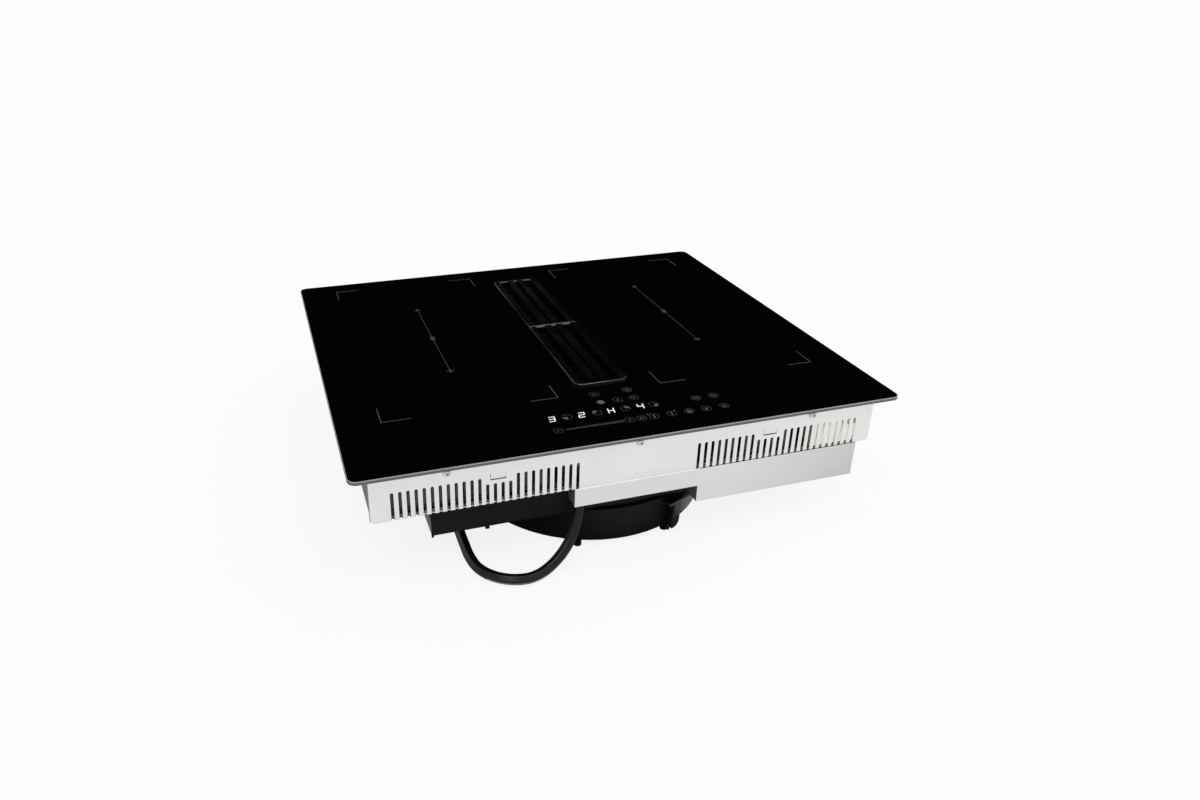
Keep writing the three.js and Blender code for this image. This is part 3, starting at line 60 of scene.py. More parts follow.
# --------------------------------------------------------
# Camera. It stands off the front left corner and looks down on the glass, so near that the left corner
# looms; the small shift puts the cooktop where the photograph has it.
camera = bpy.data.objects.new("camera", bpy.data.cameras.new("camera"))
camera.data.sensor_width = 36
camera.data.lens = 27.11
camera.data.shift_x = 0.0641
camera.data.shift_y = -0.0264
camera_axes = Matrix((
    (0.95561, -0.29463, 0.00211),
    (0.12516, 0.41242, 0.90236),
    (-0.26673, -0.86203, 0.43099),
)).transposed().to_4x4()
camera.matrix_world = Matrix.Translation((-0.34768, -0.96333, 0.59894)) @ camera_axes
bpy.context.collection.objects.link(camera)
bpy.context.scene.camera = camera

# --------------------------------------------------------
# Mains lead. A 12 mm three-core lead in a black rubber sheath, moulded round its cores so that it shows soft
# ridges. It hangs from its grip behind the middle lip, lies down beside the fan drum and is coiled behind it.


def linear(hex_colour):
    """An sRGB hex colour as the linear RGBA that a shader takes."""
    shares = [int(hex_colour[i:i + 2], 16) / 255 for i in (0, 2, 4)]
    return [s / 12.92 if s <= 0.04045 else ((s + 0.055) / 1.055) ** 2.4 for s in shares] + [1.0]


def add_node(tree, kind, settings=None, links=None):
    """Adds a node, sets its properties and sockets, and links its sockets to other nodes' outputs."""
    node = tree.nodes.new(kind)
    for key, value in (settings or {}).items():
        if isinstance(key, int) or key in node.inputs:
            node.inputs[key].default_value = value
        else:
            setattr(node, key, value)
    for key, source in (links or {}).items():
        tree.links.new(source, node.inputs[key])
    return node


def new_material(name, settings, *patterns):
    """A material named for its finish. A pattern is a texture, its settings, the shader's sockets that it
    varies and, where it needs one, its mapping. Base Color takes two colours, or None for the texture's own,
    Normal a relief's strength and depth, and any other socket the two numbers that it goes between. A Scale
    counts a texture's features in a metre, so 1400 draws grains of 0.7 mm."""
    material = bpy.data.materials.new(name)
    material.use_nodes = True
    tree = material.node_tree
    tree.nodes.clear()
    surface = add_node(tree, "ShaderNodeBsdfPrincipled", settings)
    add_node(tree, "ShaderNodeOutputMaterial", None, {"Surface": surface.outputs["BSDF"]})
    for kind, shape, varied, *mapping in patterns:
        place = add_node(tree, "ShaderNodeTexCoord").outputs["Object"]
        if mapping:
            place = add_node(tree, "ShaderNodeMapping", mapping[0], {"Vector": place}).outputs[0]
        texture = add_node(tree, kind, shape, {"Vector": place})
        amount = texture.outputs["Distance" if kind == "ShaderNodeTexVoronoi" else "Fac"]
        for socket, span in varied.items():
            if span is None:
                source = texture.outputs["Color"]
            elif socket == "Base Color":
                tones = {"data_type": "RGBA", 6: linear(span[0]), 7: linear(span[1])}
                source = add_node(tree, "ShaderNodeMix", tones, {0: amount}).outputs[2]
            elif socket == "Normal":
                heights = {"Height": amount}
                if surface.inputs["Normal"].is_linked:
                    heights["Normal"] = surface.inputs["Normal"].links[0].from_socket
                relief = {"Strength": span[0], "Distance": span[1]}
                source = add_node(tree, "ShaderNodeBump", relief, heights).outputs["Normal"]
            else:
                ends = dict(zip(("To Min", "To Max", "From Min", "From Max"), span))
                source = add_node(tree, "ShaderNodeMapRange", ends, {"Value": amount}).outputs[0]
            tree.links.new(source, surface.inputs[socket])
    return material


def finish_piece(name, bm, materials, body, sharp=30):
    """Makes a piece in metres of a bmesh in millimetres, smooth up to the sharp angle, riding on a body."""
    bmesh.ops.scale(bm, vec=(0.001, 0.001, 0.001), verts=bm.verts)
    mesh = bpy.data.meshes.new(name)
    for face in bm.faces:
        face.smooth = True
    bm.to_mesh(mesh)
    bm.free()
    mesh.set_sharp_from_angle(angle=math.radians(sharp))
    for material in materials:
        mesh.materials.append(material)
    piece = bpy.data.objects.new(name, mesh)
    bpy.context.collection.objects.link(piece)
    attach(piece, body)
    return piece


CORD_RADIUS = 6
CORD_LAY = 6.2  # its middle's height on the bench
GRIP_AT = (-60, -232.3)
cord_exit = Vector((*GRIP_AT, 71.4))
route = [cord_exit] + [Vector(point) for point in (
    (-60, -232.3, 64), (-61, -233, 57), (-63.8, -235, 47.5), (-68.5, -238.2, 38), (-75.5, -242.3, 28.5),
    (-85, -246.8, 19.6), (-96.5, -251, 12.3), (-109, -254.4, 7.7), (-122, -256, CORD_LAY),
    (-139, -253, CORD_LAY), (-155.8, -242.4, CORD_LAY), (-167.3, -226, CORD_LAY), (-171.3, -206, CORD_LAY),
    (-171.5, -180, CORD_LAY), (-170, -130, CORD_LAY), (-165, -70, CORD_LAY), (-154, -10, CORD_LAY),
    (-138, 50, CORD_LAY), (-126, 100, CORD_LAY), (-122.6, 120, CORD_LAY), (-122, 137.7, CORD_LAY),
)]


def smooth_route(points, steps):
    """Points along a centripetal Catmull-Rom curve through these, as the CAD lead has them."""
    ends = [points[0] * 2 - points[1], *points, points[-1] * 2 - points[-2]]
    line = [points[0].copy()]
    for a, b, c, d in zip(ends, ends[1:], ends[2:], ends[3:]):
        t1 = (b - a).length ** 0.5
        t2 = t1 + (c - b).length ** 0.5
        t3 = t2 + (d - c).length ** 0.5
        for i in range(1, steps + 1):
            t = t1 + (t2 - t1) * i / steps
            ab, bc, cd = a.lerp(b, t / t1), b.lerp(c, (t - t1) / (t2 - t1)), c.lerp(d, (t - t2) / (t3 - t2))
            line.append(ab.lerp(bc, t / t2).lerp(bc.lerp(cd, (t - t1) / (t3 - t1)), (t - t1) / (t2 - t1)))
    return line


# The coil: 1.9 turns that wind inwards, with a straight stretch of one diameter at each end
COIL_CENTRE = Vector((-194, 150, CORD_LAY))
COIL_RADIUS = 72
COIL_PITCH = 13
COIL_TURNS = 1.9
COIL_STEPS = int(COIL_TURNS * 48)
coil_line = []
for i in range(COIL_STEPS + 1):
    turn = COIL_TURNS * i / COIL_STEPS
    tuck = max(0.0, (turn - COIL_TURNS + 0.25) / 0.25)
    radius = COIL_RADIUS - COIL_PITCH * turn - 6 * tuck * tuck
    angle = 2 * math.pi * turn
    coil_line.append(COIL_CENTRE + Vector((radius * math.cos(angle), radius * math.sin(angle), 0)))
out_way = (coil_line[-1] - coil_line[-2]).normalized()
cord_line = smooth_route(route, 6) + coil_line + [coil_line[-1] + out_way * 2 * CORD_RADIUS]


def only(kind, geometry):
    """The vertices, edges or faces among some geometry."""
    return [element for element in geometry if isinstance(element, kind)]


def sweep(bm, line, section, material_index=0):
    """Sweeps a closed section of (across, up) points along a line, turning it as little as it can, and closes
    both ends flat."""
    steps = zip([line[0], *line], [*line[1:], line[-1]])
    tangents = [(after - before).normalized() for before, after in steps]
    across = tangents[0].cross(Vector((0, 0, 1)))
    across = across.normalized() if across.length > 0.1 else Vector((1, 0, 0))
    placed = None
    for point, before, along in zip(line, [tangents[0], *tangents], tangents):
        across = before.rotation_difference(along) @ across
        up = along.cross(across)
        place = Matrix((across, up, along)).transposed().to_4x4()
        place.translation = point
        if placed is None:
            ring = [bm.verts.new(place @ Vector((x, y, 0))) for x, y in section]
            cap = bm.faces.new(ring)
            cap.material_index = material_index
            swept, edges = [cap], cap.edges[:]
        else:
            made = bmesh.ops.extrude_edge_only(bm, edges=edges)["geom"]
            verts = only(BMVert, made)
            bmesh.ops.transform(bm, matrix=place @ placed.inverted(), verts=verts)
            edges = [edge for edge in only(BMEdge, made) if all(v in verts for v in edge.verts)]
            swept += only(BMFace, made)
        placed = place
    swept += bmesh.ops.edgenet_fill(bm, edges=edges, mat_nr=material_index)["faces"]
    for face in swept:
        face.material_index = material_index
    bmesh.ops.recalc_face_normals(bm, faces=swept)


# Vulcanised rubber: near black and satin. Talc dust greys it in clouds of 11 mm, and its fine grain is drawn
# at 0.7 mm, as coarse as it needs to show
sheath = new_material(
    "rubber_sheath", {"IOR": 1.3, "Roughness": 0.22},
    ("ShaderNodeTexNoise", {"Scale": 90.0, "Detail": 4.0}, {"Base Color": ("090909", "131313")}),
    ("ShaderNodeTexNoise", {"Scale": 1400.0}, {"Normal": (0.25, 0.0002)}),
)


def round_section(radius, corners, ridges=0, groove=0.0):
    """A round section, with soft ridges that stand between grooves where it has any."""
    section = []
    for i in range(corners):
        angle = 2 * math.pi * i / corners
        reach = radius - groove / 2 * (1 - math.cos(ridges * angle))
        section.append((reach * math.cos(angle), reach * math.sin(angle)))
    return section


lead_mesh = bmesh.new()
sweep(lead_mesh, cord_line, round_section(CORD_RADIUS, 30, ridges=5, groove=0.84))
lead = finish_piece("mains_lead", lead_mesh, [sheath], "hob", sharp=50)
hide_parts("mains_cord", "cord_coil")

# Stripped end: three cores in coloured PVC with a crimped ferrule each, as an installer leaves them. The PVC
# is smooth and soft in its shine, with a mottle of 1 mm
core_finishes = []
for core_name, tones in (("brown", ("522e1c", "56311e")), ("blue", ("2579b1", "277eb9")),
                         ("earth", ("357d34", "c9c93a"))):
    core_finishes.append(new_material(
        f"pvc_insulation_{core_name}", {"IOR": 1.53, "Roughness": 0.35},
        ("ShaderNodeTexNoise", {"Scale": 900.0, "Detail": 3.0},
         {"Base Color": tones, "Normal": (0.1, 0.0001)}),
    ))
# the earth core is green with a yellow stripe wound round it
tree = core_finishes[2].node_tree
stripe = add_node(tree, "ShaderNodeTexWave", {"bands_direction": "DIAGONAL", "Scale": 90.0},
                  {"Vector": tree.nodes["Texture Coordinate"].outputs["Object"]})
stripe_edge = add_node(tree, "ShaderNodeMath", {"operation": "GREATER_THAN", 1: 0.5},
                       {0: stripe.outputs["Fac"]})
tree.links.new(stripe_edge.outputs[0], tree.nodes["Mix"].inputs[0])

# Tinned copper for the ferrules: bright, and dented every 0.5 mm by the crimping
tinned_copper = new_material(
    "tinned_copper", {"Metallic": 1.0, "Base Color": linear("c9c8c2"), "Roughness": 0.3},
    ("ShaderNodeTexNoise", {"Scale": 2000.0}, {"Normal": (0.3, 0.0002)}),
)

CORE_RADIUS = 1.9
cores_mesh = bmesh.new()
core_start = coil_line[-1] + out_way * (2 * CORD_RADIUS + 0.3)
inward = Vector((-out_way.y, out_way.x, 0))
for index, fan in enumerate((-1, 0, 1)):
    start = core_start + out_way * 0.2 + inward * fan * 2.1
    middle = core_start + out_way * 16 + inward * fan * 3
    end = core_start + out_way * 32 + inward * (26 + fan * 6)
    bend = [start.lerp(middle, t).lerp(middle.lerp(end, t), t) for t in (i / 16 for i in range(17))]
    sweep(cores_mesh, bend[:14], round_section(CORE_RADIUS, 14), index)
    sweep(cores_mesh, bend[13:16], round_section(CORE_RADIUS * 0.72, 14), 3)
cores = finish_piece("stripped_cores", cores_mesh, [*core_finishes, tinned_copper], "hob",
                     50)
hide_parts("cord_cores")

# Hook-and-loop tie: a thin black woven strap closed round the two turns that lie side by side. It is dull,
# with a weave of 0.6 mm
woven_strap = new_material(
    "woven_nylon_strap", {"Roughness": 0.85, "Base Color": linear("17171a")},
    ("ShaderNodeTexChecker", {"Scale": 1600.0}, {"Normal": (0.6, 0.0002)}),
)

STRAP_RADIUS = 5.9
STRAP_HALF_WIDTH = 6
ties_mesh = bmesh.new()
for tie_turn in (0.36, 0.62):
    spoke = Vector((math.cos(2 * math.pi * tie_turn), math.sin(2 * math.pi * tie_turn), 0))
    ring_way = Vector((-spoke.y, spoke.x, 0))
    around = []
    for turn, first in ((tie_turn, -90), (tie_turn + 1, 90)):
        for step in range(13):
            angle = math.radians(first + 15 * step)
            reach = COIL_RADIUS - COIL_PITCH * turn + STRAP_RADIUS * math.cos(angle)
            around.append(COIL_CENTRE + spoke * reach + Vector((0, 0, STRAP_RADIUS * math.sin(angle))))
    strap = []
    for side in (-STRAP_HALF_WIDTH, STRAP_HALF_WIDTH):
        strap.append([ties_mesh.verts.new(point + ring_way * side) for point in around])
    band = [ties_mesh.faces.new((strap[0][i], strap[0][i - 1], strap[1][i - 1], strap[1][i]))
            for i in range(len(around))]
    bmesh.ops.recalc_face_normals(ties_mesh, faces=band)
    bmesh.ops.solidify(ties_mesh, geom=band, thickness=0.25)
bmesh.ops.recalc_face_normals(ties_mesh, faces=ties_mesh.faces)
ties = finish_piece("cord_ties", ties_mesh, [woven_strap], "hob", 50)

# Cord grip: a ribbed black nylon strain relief that tapers towards the lead, clamped in the pan by its nut.
# A moulded grain, drawn at 0.6 mm so that it shows, keeps it satin
nylon = new_material(
    "moulded_nylon", {"IOR": 1.53, "Roughness": 0.45, "Base Color": linear("1b1b1c")},
    ("ShaderNodeTexNoise", {"Scale": 1800.0, "Detail": 3.0}, {"Normal": (0.3, 0.0002)}),
)


def spin_profile(bm, profile, centre, steps):
    """Turns a line of (radius, height) points into a closed solid about an upright axis."""
    before = set(bm.faces)
    verts = [bm.verts.new((centre[0] + radius, centre[1], height)) for radius, height in profile]
    edges = [bm.edges.new(pair) for pair in zip(verts, verts[1:])]
    bmesh.ops.spin(bm, geom=verts + edges, cent=(*centre, 0), axis=(0, 0, 1), angle=2 * math.pi,
                   steps=steps, use_merge=True, use_duplicate=False)
    corners = list({vert for face in bm.faces if face not in before for vert in face.verts})
    bmesh.ops.remove_doubles(bm, verts=corners, dist=0.001)
    bmesh.ops.recalc_face_normals(bm, faces=[face for face in bm.faces if face not in before])


grip_mesh = bmesh.new()
grip_line = [(0, 71.7), (7.2, 71.7), (7.4, 72.2)]
for rib in range(5):
    foot = 74 + rib * 2.6
    edge_radius = 7.5 + rib * 0.32
    grip_line += [(edge_radius, foot), (edge_radius - 0.6, foot + 0.3), (edge_radius - 0.6, foot + 1.4),
                  (edge_radius + 0.2, foot + 1.7)]
grip_line += [(9, 87.5), (9, 94.7), (7.2, 94.7), (7.2, 96.3), (9, 96.3), (9, 100), (8.7, 100.3), (0, 100.3)]
spin_profile(grip_mesh, grip_line, GRIP_AT, 48)
grip = finish_piece("cord_grip_relief", grip_mesh, [nylon], "hob", 40)
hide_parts("cord_grip")

# --------------------------------------------------------
# Studio. A white bench top and surroundings, lit by broad soft lamps from the front left and the front right
# and by a weak, narrower one at the front. A black card stands behind the cooktop, out of view: it is what
# the polished glass mirrors.
scene = bpy.context.scene
scene.view_settings.view_transform = "Standard"


def seen_or_mirrored(tree):
    """1 for what the camera sees, straight, mirrored or through glass; 0 for the light that falls."""
    rays = add_node(tree, "ShaderNodeLightPath")
    mirrored = add_node(tree, "ShaderNodeMath", {"operation": "MAXIMUM"},
                        {0: rays.outputs["Is Glossy Ray"], 1: rays.outputs["Is Transmission Ray"]})
    seen = add_node(tree, "ShaderNodeMath", {"operation": "MAXIMUM"},
                    {0: rays.outputs["Is Camera Ray"], 1: mirrored.outputs[0]})
    return seen.outputs[0]


# The surroundings show as plain white and light the cooktop with little over half of that
world = bpy.data.worlds.new("white_studio")
scene.world = world
world.use_nodes = True
tree = world.node_tree
tree.nodes.clear()
strength = add_node(tree, "ShaderNodeMapRange", {"To Min": 0.55, "To Max": 1.0},
                    {"Value": seen_or_mirrored(tree)})
sky = add_node(tree, "ShaderNodeBackground", {"Color": (1, 1, 1, 1)}, {"Strength": strength.outputs[0]})
add_node(tree, "ShaderNodeOutputWorld", None, {"Surface": sky.outputs[0]})

# White bench paint: most of it glows where it is seen, and the rest takes the cooktop's soft shadow
bench_paint = bpy.data.materials.new("white_bench")
bench_paint.use_nodes = True
tree = bench_paint.node_tree
tree.nodes.clear()
glow_share = add_node(tree, "ShaderNodeMath", {"operation": "MULTIPLY", 1: 0.86}, {0: seen_or_mirrored(tree)})
paint = add_node(tree, "ShaderNodeBsdfDiffuse", {"Color": (0.9, 0.9, 0.9, 1)})
glow = add_node(tree, "ShaderNodeEmission", {"Color": (1, 1, 1, 1), "Strength": 1.0})
blend = add_node(tree, "ShaderNodeMixShader", None,
                 {0: glow_share.outputs[0], 1: paint.outputs[0], 2: glow.outputs[0]})
add_node(tree, "ShaderNodeOutputMaterial", None, {"Surface": blend.outputs[0]})


def studio_sheet(name, bm, paints, mirrored_only):
    """A flat piece of the studio, of a bmesh in metres. One that is mirrored only shows in polished faces."""
    mesh = bpy.data.meshes.new(name)
    bm.to_mesh(mesh)
    bm.free()
    for paint in paints:
        mesh.materials.append(paint)
    sheet = bpy.data.objects.new(name, mesh)
    sheet.visible_camera = not mirrored_only
    sheet.visible_diffuse = not mirrored_only
    sheet.visible_shadow = not mirrored_only
    bpy.context.collection.objects.link(sheet)
    return sheet


def put(bm, verts, size=(1, 1, 1), turn=0.0, axis="Z", at=(0, 0, 0)):
    """Sizes some vertices, turns them about an axis through the origin and moves them."""
    bmesh.ops.scale(bm, vec=size, verts=verts)
    bmesh.ops.rotate(bm, matrix=Matrix.Rotation(turn, 3, axis), verts=verts)
    bmesh.ops.translate(bm, vec=at, verts=verts)


bench_mesh = bmesh.new()
bmesh.ops.create_grid(bench_mesh, x_segments=1, y_segments=1, size=20)
studio_sheet("bench", bench_mesh, [bench_paint], mirrored_only=False)

# Matt black card, with no gloss at all
black_paint = new_material("black_card", {"Base Color": (0, 0, 0, 1), "Specular IOR Level": 0.0})
card_mesh = bmesh.new()
bmesh.ops.create_grid(card_mesh, x_segments=1, y_segments=1, size=1)
put(card_mesh, card_mesh.verts, (1.7, 0.62, 1), math.pi / 2, "X", (0.85, 1.5, 1.1))
studio_sheet("black_card", card_mesh, [black_paint], mirrored_only=True)

# A grey card lies flat under the casing and out past its left wall, so that the left wall and the left ends
# of lip and box mirror something dark. Two pale panels in its front edge are what the plenum's left end and
# the drum's right side mirror
grey_paint = new_material("grey_card", {"Base Color": (0.16, 0.16, 0.16, 1), "Specular IOR Level": 0.0})
panel_paint = new_material("pale_panel", {"Base Color": (0, 0, 0, 1), "Emission Color": (1, 1, 1, 1),
                                          "Emission Strength": 0.42})
# how far left, right and back the panels reach
PANEL_LEFT = -0.262
PANEL_RIGHT = -0.165
OTHER_PANEL_LEFT = 0.09
PANEL_DEPTH = 0.1
flag_mesh = bmesh.new()
bmesh.ops.create_grid(flag_mesh, x_segments=1, y_segments=1, size=1)
put(flag_mesh, flag_mesh.verts, (0.81, 1.32, 1), at=(-0.49, 1.08, 0.0005))
for cut_at in ((PANEL_LEFT, 0, 0), (PANEL_RIGHT, 0, 0), (OTHER_PANEL_LEFT, 0, 0), (0, PANEL_DEPTH, 0)):
    everything = flag_mesh.verts[:] + flag_mesh.edges[:] + flag_mesh.faces[:]
    bmesh.ops.bisect_plane(flag_mesh, geom=everything, plane_co=cut_at, plane_no=Vector(cut_at).normalized())
for face in flag_mesh.faces:
    middle = face.calc_center_median()
    if middle.y < PANEL_DEPTH and (PANEL_LEFT < middle.x < PANEL_RIGHT or middle.x > OTHER_PANEL_LEFT):
        face.material_index = 1
studio_sheet("grey_card", flag_mesh, [grey_paint, panel_paint], mirrored_only=True)

for lamp_name, lamp_way, lamp_strength, lamp_spread in (
    ("front_left_softbox", (0.55, 0.9, -1.5), 0.95, 32),
    ("front_right_softbox", (-0.8, 0.5, -1.3), 0.5, 60),
    ("front_strip", (-0.275, 0.51, -0.815), 0.12, 14),
):
    lamp = bpy.data.objects.new(lamp_name, bpy.data.lights.new(lamp_name, "SUN"))
    lamp.data.energy = lamp_strength
    lamp.data.angle = math.radians(lamp_spread)
    lamp.rotation_euler = Vector(lamp_way).to_track_quat("-Z", "Y").to_euler()
    bpy.context.collection.objects.link(lamp)

# --------------------------------------------------------
# Glass plate. 4 mm black glass ceramic, polished on top, ground to a narrow chamfer all round and fired with
# black enamel underneath. The opening for the grille is ground in the same way.
GLASS_TOP = 155
GLASS_UNDER = 151
GRILLE_SEAM = 34.5  # where the two grille halves meet


def rounded_ring(bm, x0, x1, y0, y1, z, front_corner, rear_corner=None, inset=0.0):
    """The edges of a level rectangle with rounded corners, drawn in by the inset, with no face in it."""
    before = set(bm.faces)
    corners = bmesh.ops.create_grid(bm, x_segments=1, y_segments=1, size=0.5)["verts"]
    put(bm, corners, (x1 - x0 - 2 * inset, y1 - y0 - 2 * inset, 1), at=((x0 + x1) / 2, (y0 + y1) / 2, z))
    front = [vert for vert in corners if vert.co.y < (y0 + y1) / 2]
    rear = [vert for vert in corners if vert not in front]
    for pair, radius in ((front, front_corner), (rear, rear_corner or front_corner)):
        bmesh.ops.bevel(bm, geom=pair, offset=max(radius - inset, 0.05), affect="VERTICES", segments=6,
                        profile=0.5, material=-1)
    face = next(face for face in bm.faces if face not in before)
    edges = face.edges[:]
    bmesh.ops.delete(bm, geom=[face], context="FACES_ONLY")
    return edges


def bridge(bm, rings, finishes=None):
    """Joins each ring of edges to the next, each band in its own finish."""
    for i, (ring, following) in enumerate(zip(rings, rings[1:])):
        for face in bmesh.ops.bridge_loops(bm, edges=ring + following)["faces"]:
            face.material_index = finishes[i] if finishes else 0


# Black glass ceramic, polished: it mirrors sharply, and cleaning leaves the faintest haze in wipes of 70 mm
polished = new_material(
    "black_glass_ceramic", {"IOR": 1.52, "Base Color": linear("040405")},
    ("ShaderNodeTexNoise", {"Scale": 14.0, "Detail": 3.0, "Distortion": 0.6},
     {"Roughness": (0.012, 0.05, 0.35, 0.75)}),
)
# Ground glass edge: the grinding leaves it matt, and it catches light as a fine grey line. The grit is drawn
# at 0.7 mm, far coarser than it is, so that it shows
ground = new_material(
    "ground_glass_edge", {"IOR": 1.52},
    ("ShaderNodeTexNoise", {"Scale": 1500.0, "Detail": 3.0},
     {"Base Color": ("7c7e7f", "a0a2a3"), "Roughness": (0.3, 0.55)}),
)
# The edge below the chamfer is the cut glass itself, darker where the black shows through. The saw's
# grit is drawn at 0.9 mm so that it shows
cut_edge = new_material(
    "cut_glass_edge", {"IOR": 1.52, "Roughness": 0.35},
    ("ShaderNodeTexNoise", {"Scale": 1100.0, "Detail": 3.0}, {"Base Color": ("434546", "5f6162")}),
)
# Fired enamel: a dull black with a slight orange peel of 1.4 mm
enamel = new_material(
    "fired_black_enamel", {"IOR": 1.5, "Roughness": 0.5, "Base Color": linear("121213")},
    ("ShaderNodeTexNoise", {"Scale": 700.0}, {"Normal": (0.3, 0.0001)}),
)

outer = (-295, 295, -260, 260)
opening = (-28.5, 28.5, GRILLE_SEAM - 169, GRILLE_SEAM + 169)
glass_mesh = bmesh.new()
# from the opening's chamfer over the top, down the outer edge, back underneath and up the opening's edge
glass_rings = []
for shape, corner, z, inset in (
    (opening, 6.5, GLASS_TOP, -0.4), (opening, 6.5, GLASS_TOP, -0.7), (outer, 9, GLASS_TOP, 1.1),
    (outer, 9, GLASS_TOP, 0.8), (outer, 9, GLASS_TOP - 0.25, 0.25), (outer, 9, GLASS_TOP - 0.9, 0),
    (outer, 9, GLASS_UNDER + 0.5, 0), (outer, 9, GLASS_UNDER, 0.5), (opening, 6.5, GLASS_UNDER, -0.3),
    (opening, 6.5, GLASS_UNDER + 0.3, 0), (opening, 6.5, GLASS_TOP - 0.4, 0),
):
    glass_rings.append(rounded_ring(glass_mesh, *shape, z, corner, inset=inset))
bridge(glass_mesh, glass_rings + glass_rings[:1], [0, 0, 0, 1, 1, 2, 1, 3, 2, 2, 1])
bmesh.ops.recalc_face_normals(glass_mesh, faces=glass_mesh.faces)
glass = finish_piece("glass_plate", glass_mesh, [polished, ground, cut_edge, enamel], "hob",
                     25)
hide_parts("glass_top")

# --------------------------------------------------------
# Print on the glass. Grey ceramic ink fired into the top: corner brackets round each double zone, a dashed
# line with a joining sign between its two crosses, and the rings and signs of the touch field.


def line(bm, x0, y0, x1, y1, width):
    """A printed line from one point to another."""
    along = Vector((x1 - x0, y1 - y0))
    corners = bmesh.ops.create_grid(bm, x_segments=1, y_segments=1, size=0.5)["verts"]
    put(bm, corners, (along.length, width, 1), math.atan2(along.y, along.x),
        at=((x0 + x1) / 2, (y0 + y1) / 2, 0))
    return corners


def hoop(bm, x, y, radius, width):
    """A printed ring."""
    rings = []
    for r in (radius, radius - width):
        verts = bmesh.ops.create_circle(bm, cap_ends=False, segments=32, radius=r)["verts"]
        put(bm, verts, at=(x, y, 0))
        rings.append(list({edge for vert in verts for edge in vert.link_edges}))
    bmesh.ops.bridge_loops(bm, edges=rings[0] + rings[1])


def dot(bm, x, y, radius):
    """A printed spot."""
    verts = bmesh.ops.create_circle(bm, cap_ends=True, segments=20, radius=radius)["verts"]
    put(bm, verts, at=(x, y, 0))


def sector(bm, x, y, radius, first, sweep_angle, inner=0.3):
    """A printed part of a disc, from its first angle round by the sweep."""
    ends = [bm.verts.new((x + r * math.cos(first), y + r * math.sin(first), 0)) for r in (inner, radius)]
    edge = bm.edges.new(ends)
    bmesh.ops.spin(bm, geom=[edge, *ends], cent=(x, y, 0), axis=(0, 0, 1), angle=sweep_angle, steps=8)


INK_UNDER = GLASS_TOP + 0.01
INK_THICKNESS = 0.03


def raise_print(bm):
    """Turns the flat print to face up, gives it the ink's thickness and lifts it on to the glass."""
    bmesh.ops.recalc_face_normals(bm, faces=bm.faces)
    down = [face for face in bm.faces if face.normal.z < 0]
    bmesh.ops.reverse_faces(bm, faces=down)
    top = bmesh.ops.extrude_face_region(bm, geom=bm.faces[:], use_keep_orig=True)["geom"]
    put(bm, only(BMVert, top), at=(0, 0, INK_THICKNESS))
    put(bm, bm.verts, at=(0, 0, INK_UNDER))
    bmesh.ops.recalc_face_normals(bm, faces=bm.faces)


# Ceramic ink: matt, with a faint mottle from the screen, 1.1 mm wide
grey_ink, faint_ink = [
    new_material(name, {"Roughness": 0.6}, ("ShaderNodeTexNoise", {"Scale": 900.0}, {"Base Color": tones}))
    for name, tones in (("grey_ceramic_ink", ("626464", "747676")),
                        ("faint_ceramic_ink", ("484a4a", "565858")))
]

BRACKET_ARM = 31
BRACKET_WIDTH = 0.38
CROSS_ARM = 4.5
CROSS_WIDTH = 0.5
DASHES = 53
DASH_PITCH = 3.4
SIGN_Y = 37.5
marks = bmesh.new()
for zone_left, zone_right in ((-248, -58.5), (61, 251.5)):
    for x, inward_x in ((zone_left, 1), (zone_right, -1)):
        for y, inward_y in ((-155.4, 1), (232, -1)):
            half = BRACKET_WIDTH / 2
            line(marks, x - inward_x * half, y, x + inward_x * BRACKET_ARM, y, BRACKET_WIDTH)
            line(marks, x, y + inward_y * half, x, y + inward_y * BRACKET_ARM, BRACKET_WIDTH)
for zone_x in (-153.8, 155.6):
    for y in (133.8, -58):
        line(marks, zone_x - CROSS_ARM, y, zone_x + CROSS_ARM, y, CROSS_WIDTH)
        line(marks, zone_x, y - CROSS_ARM, zone_x, y + CROSS_ARM, CROSS_WIDTH)
    for dash in range(DASHES):
        dash_y = -51.6 + dash * DASH_PITCH
        if abs(dash_y - SIGN_Y) > 8:
            line(marks, zone_x, dash_y - 1.1, zone_x, dash_y + 1.1, 0.32)
    # the joining sign: two small zones, one behind the other
    hoop(marks, zone_x, SIGN_Y - 2.9, 2.5, 0.6)
    hoop(marks, zone_x, SIGN_Y + 2.9, 2.5, 0.6)
raise_print(marks)
finish_piece("printed_zones", marks, [grey_ink], "hob", 30)

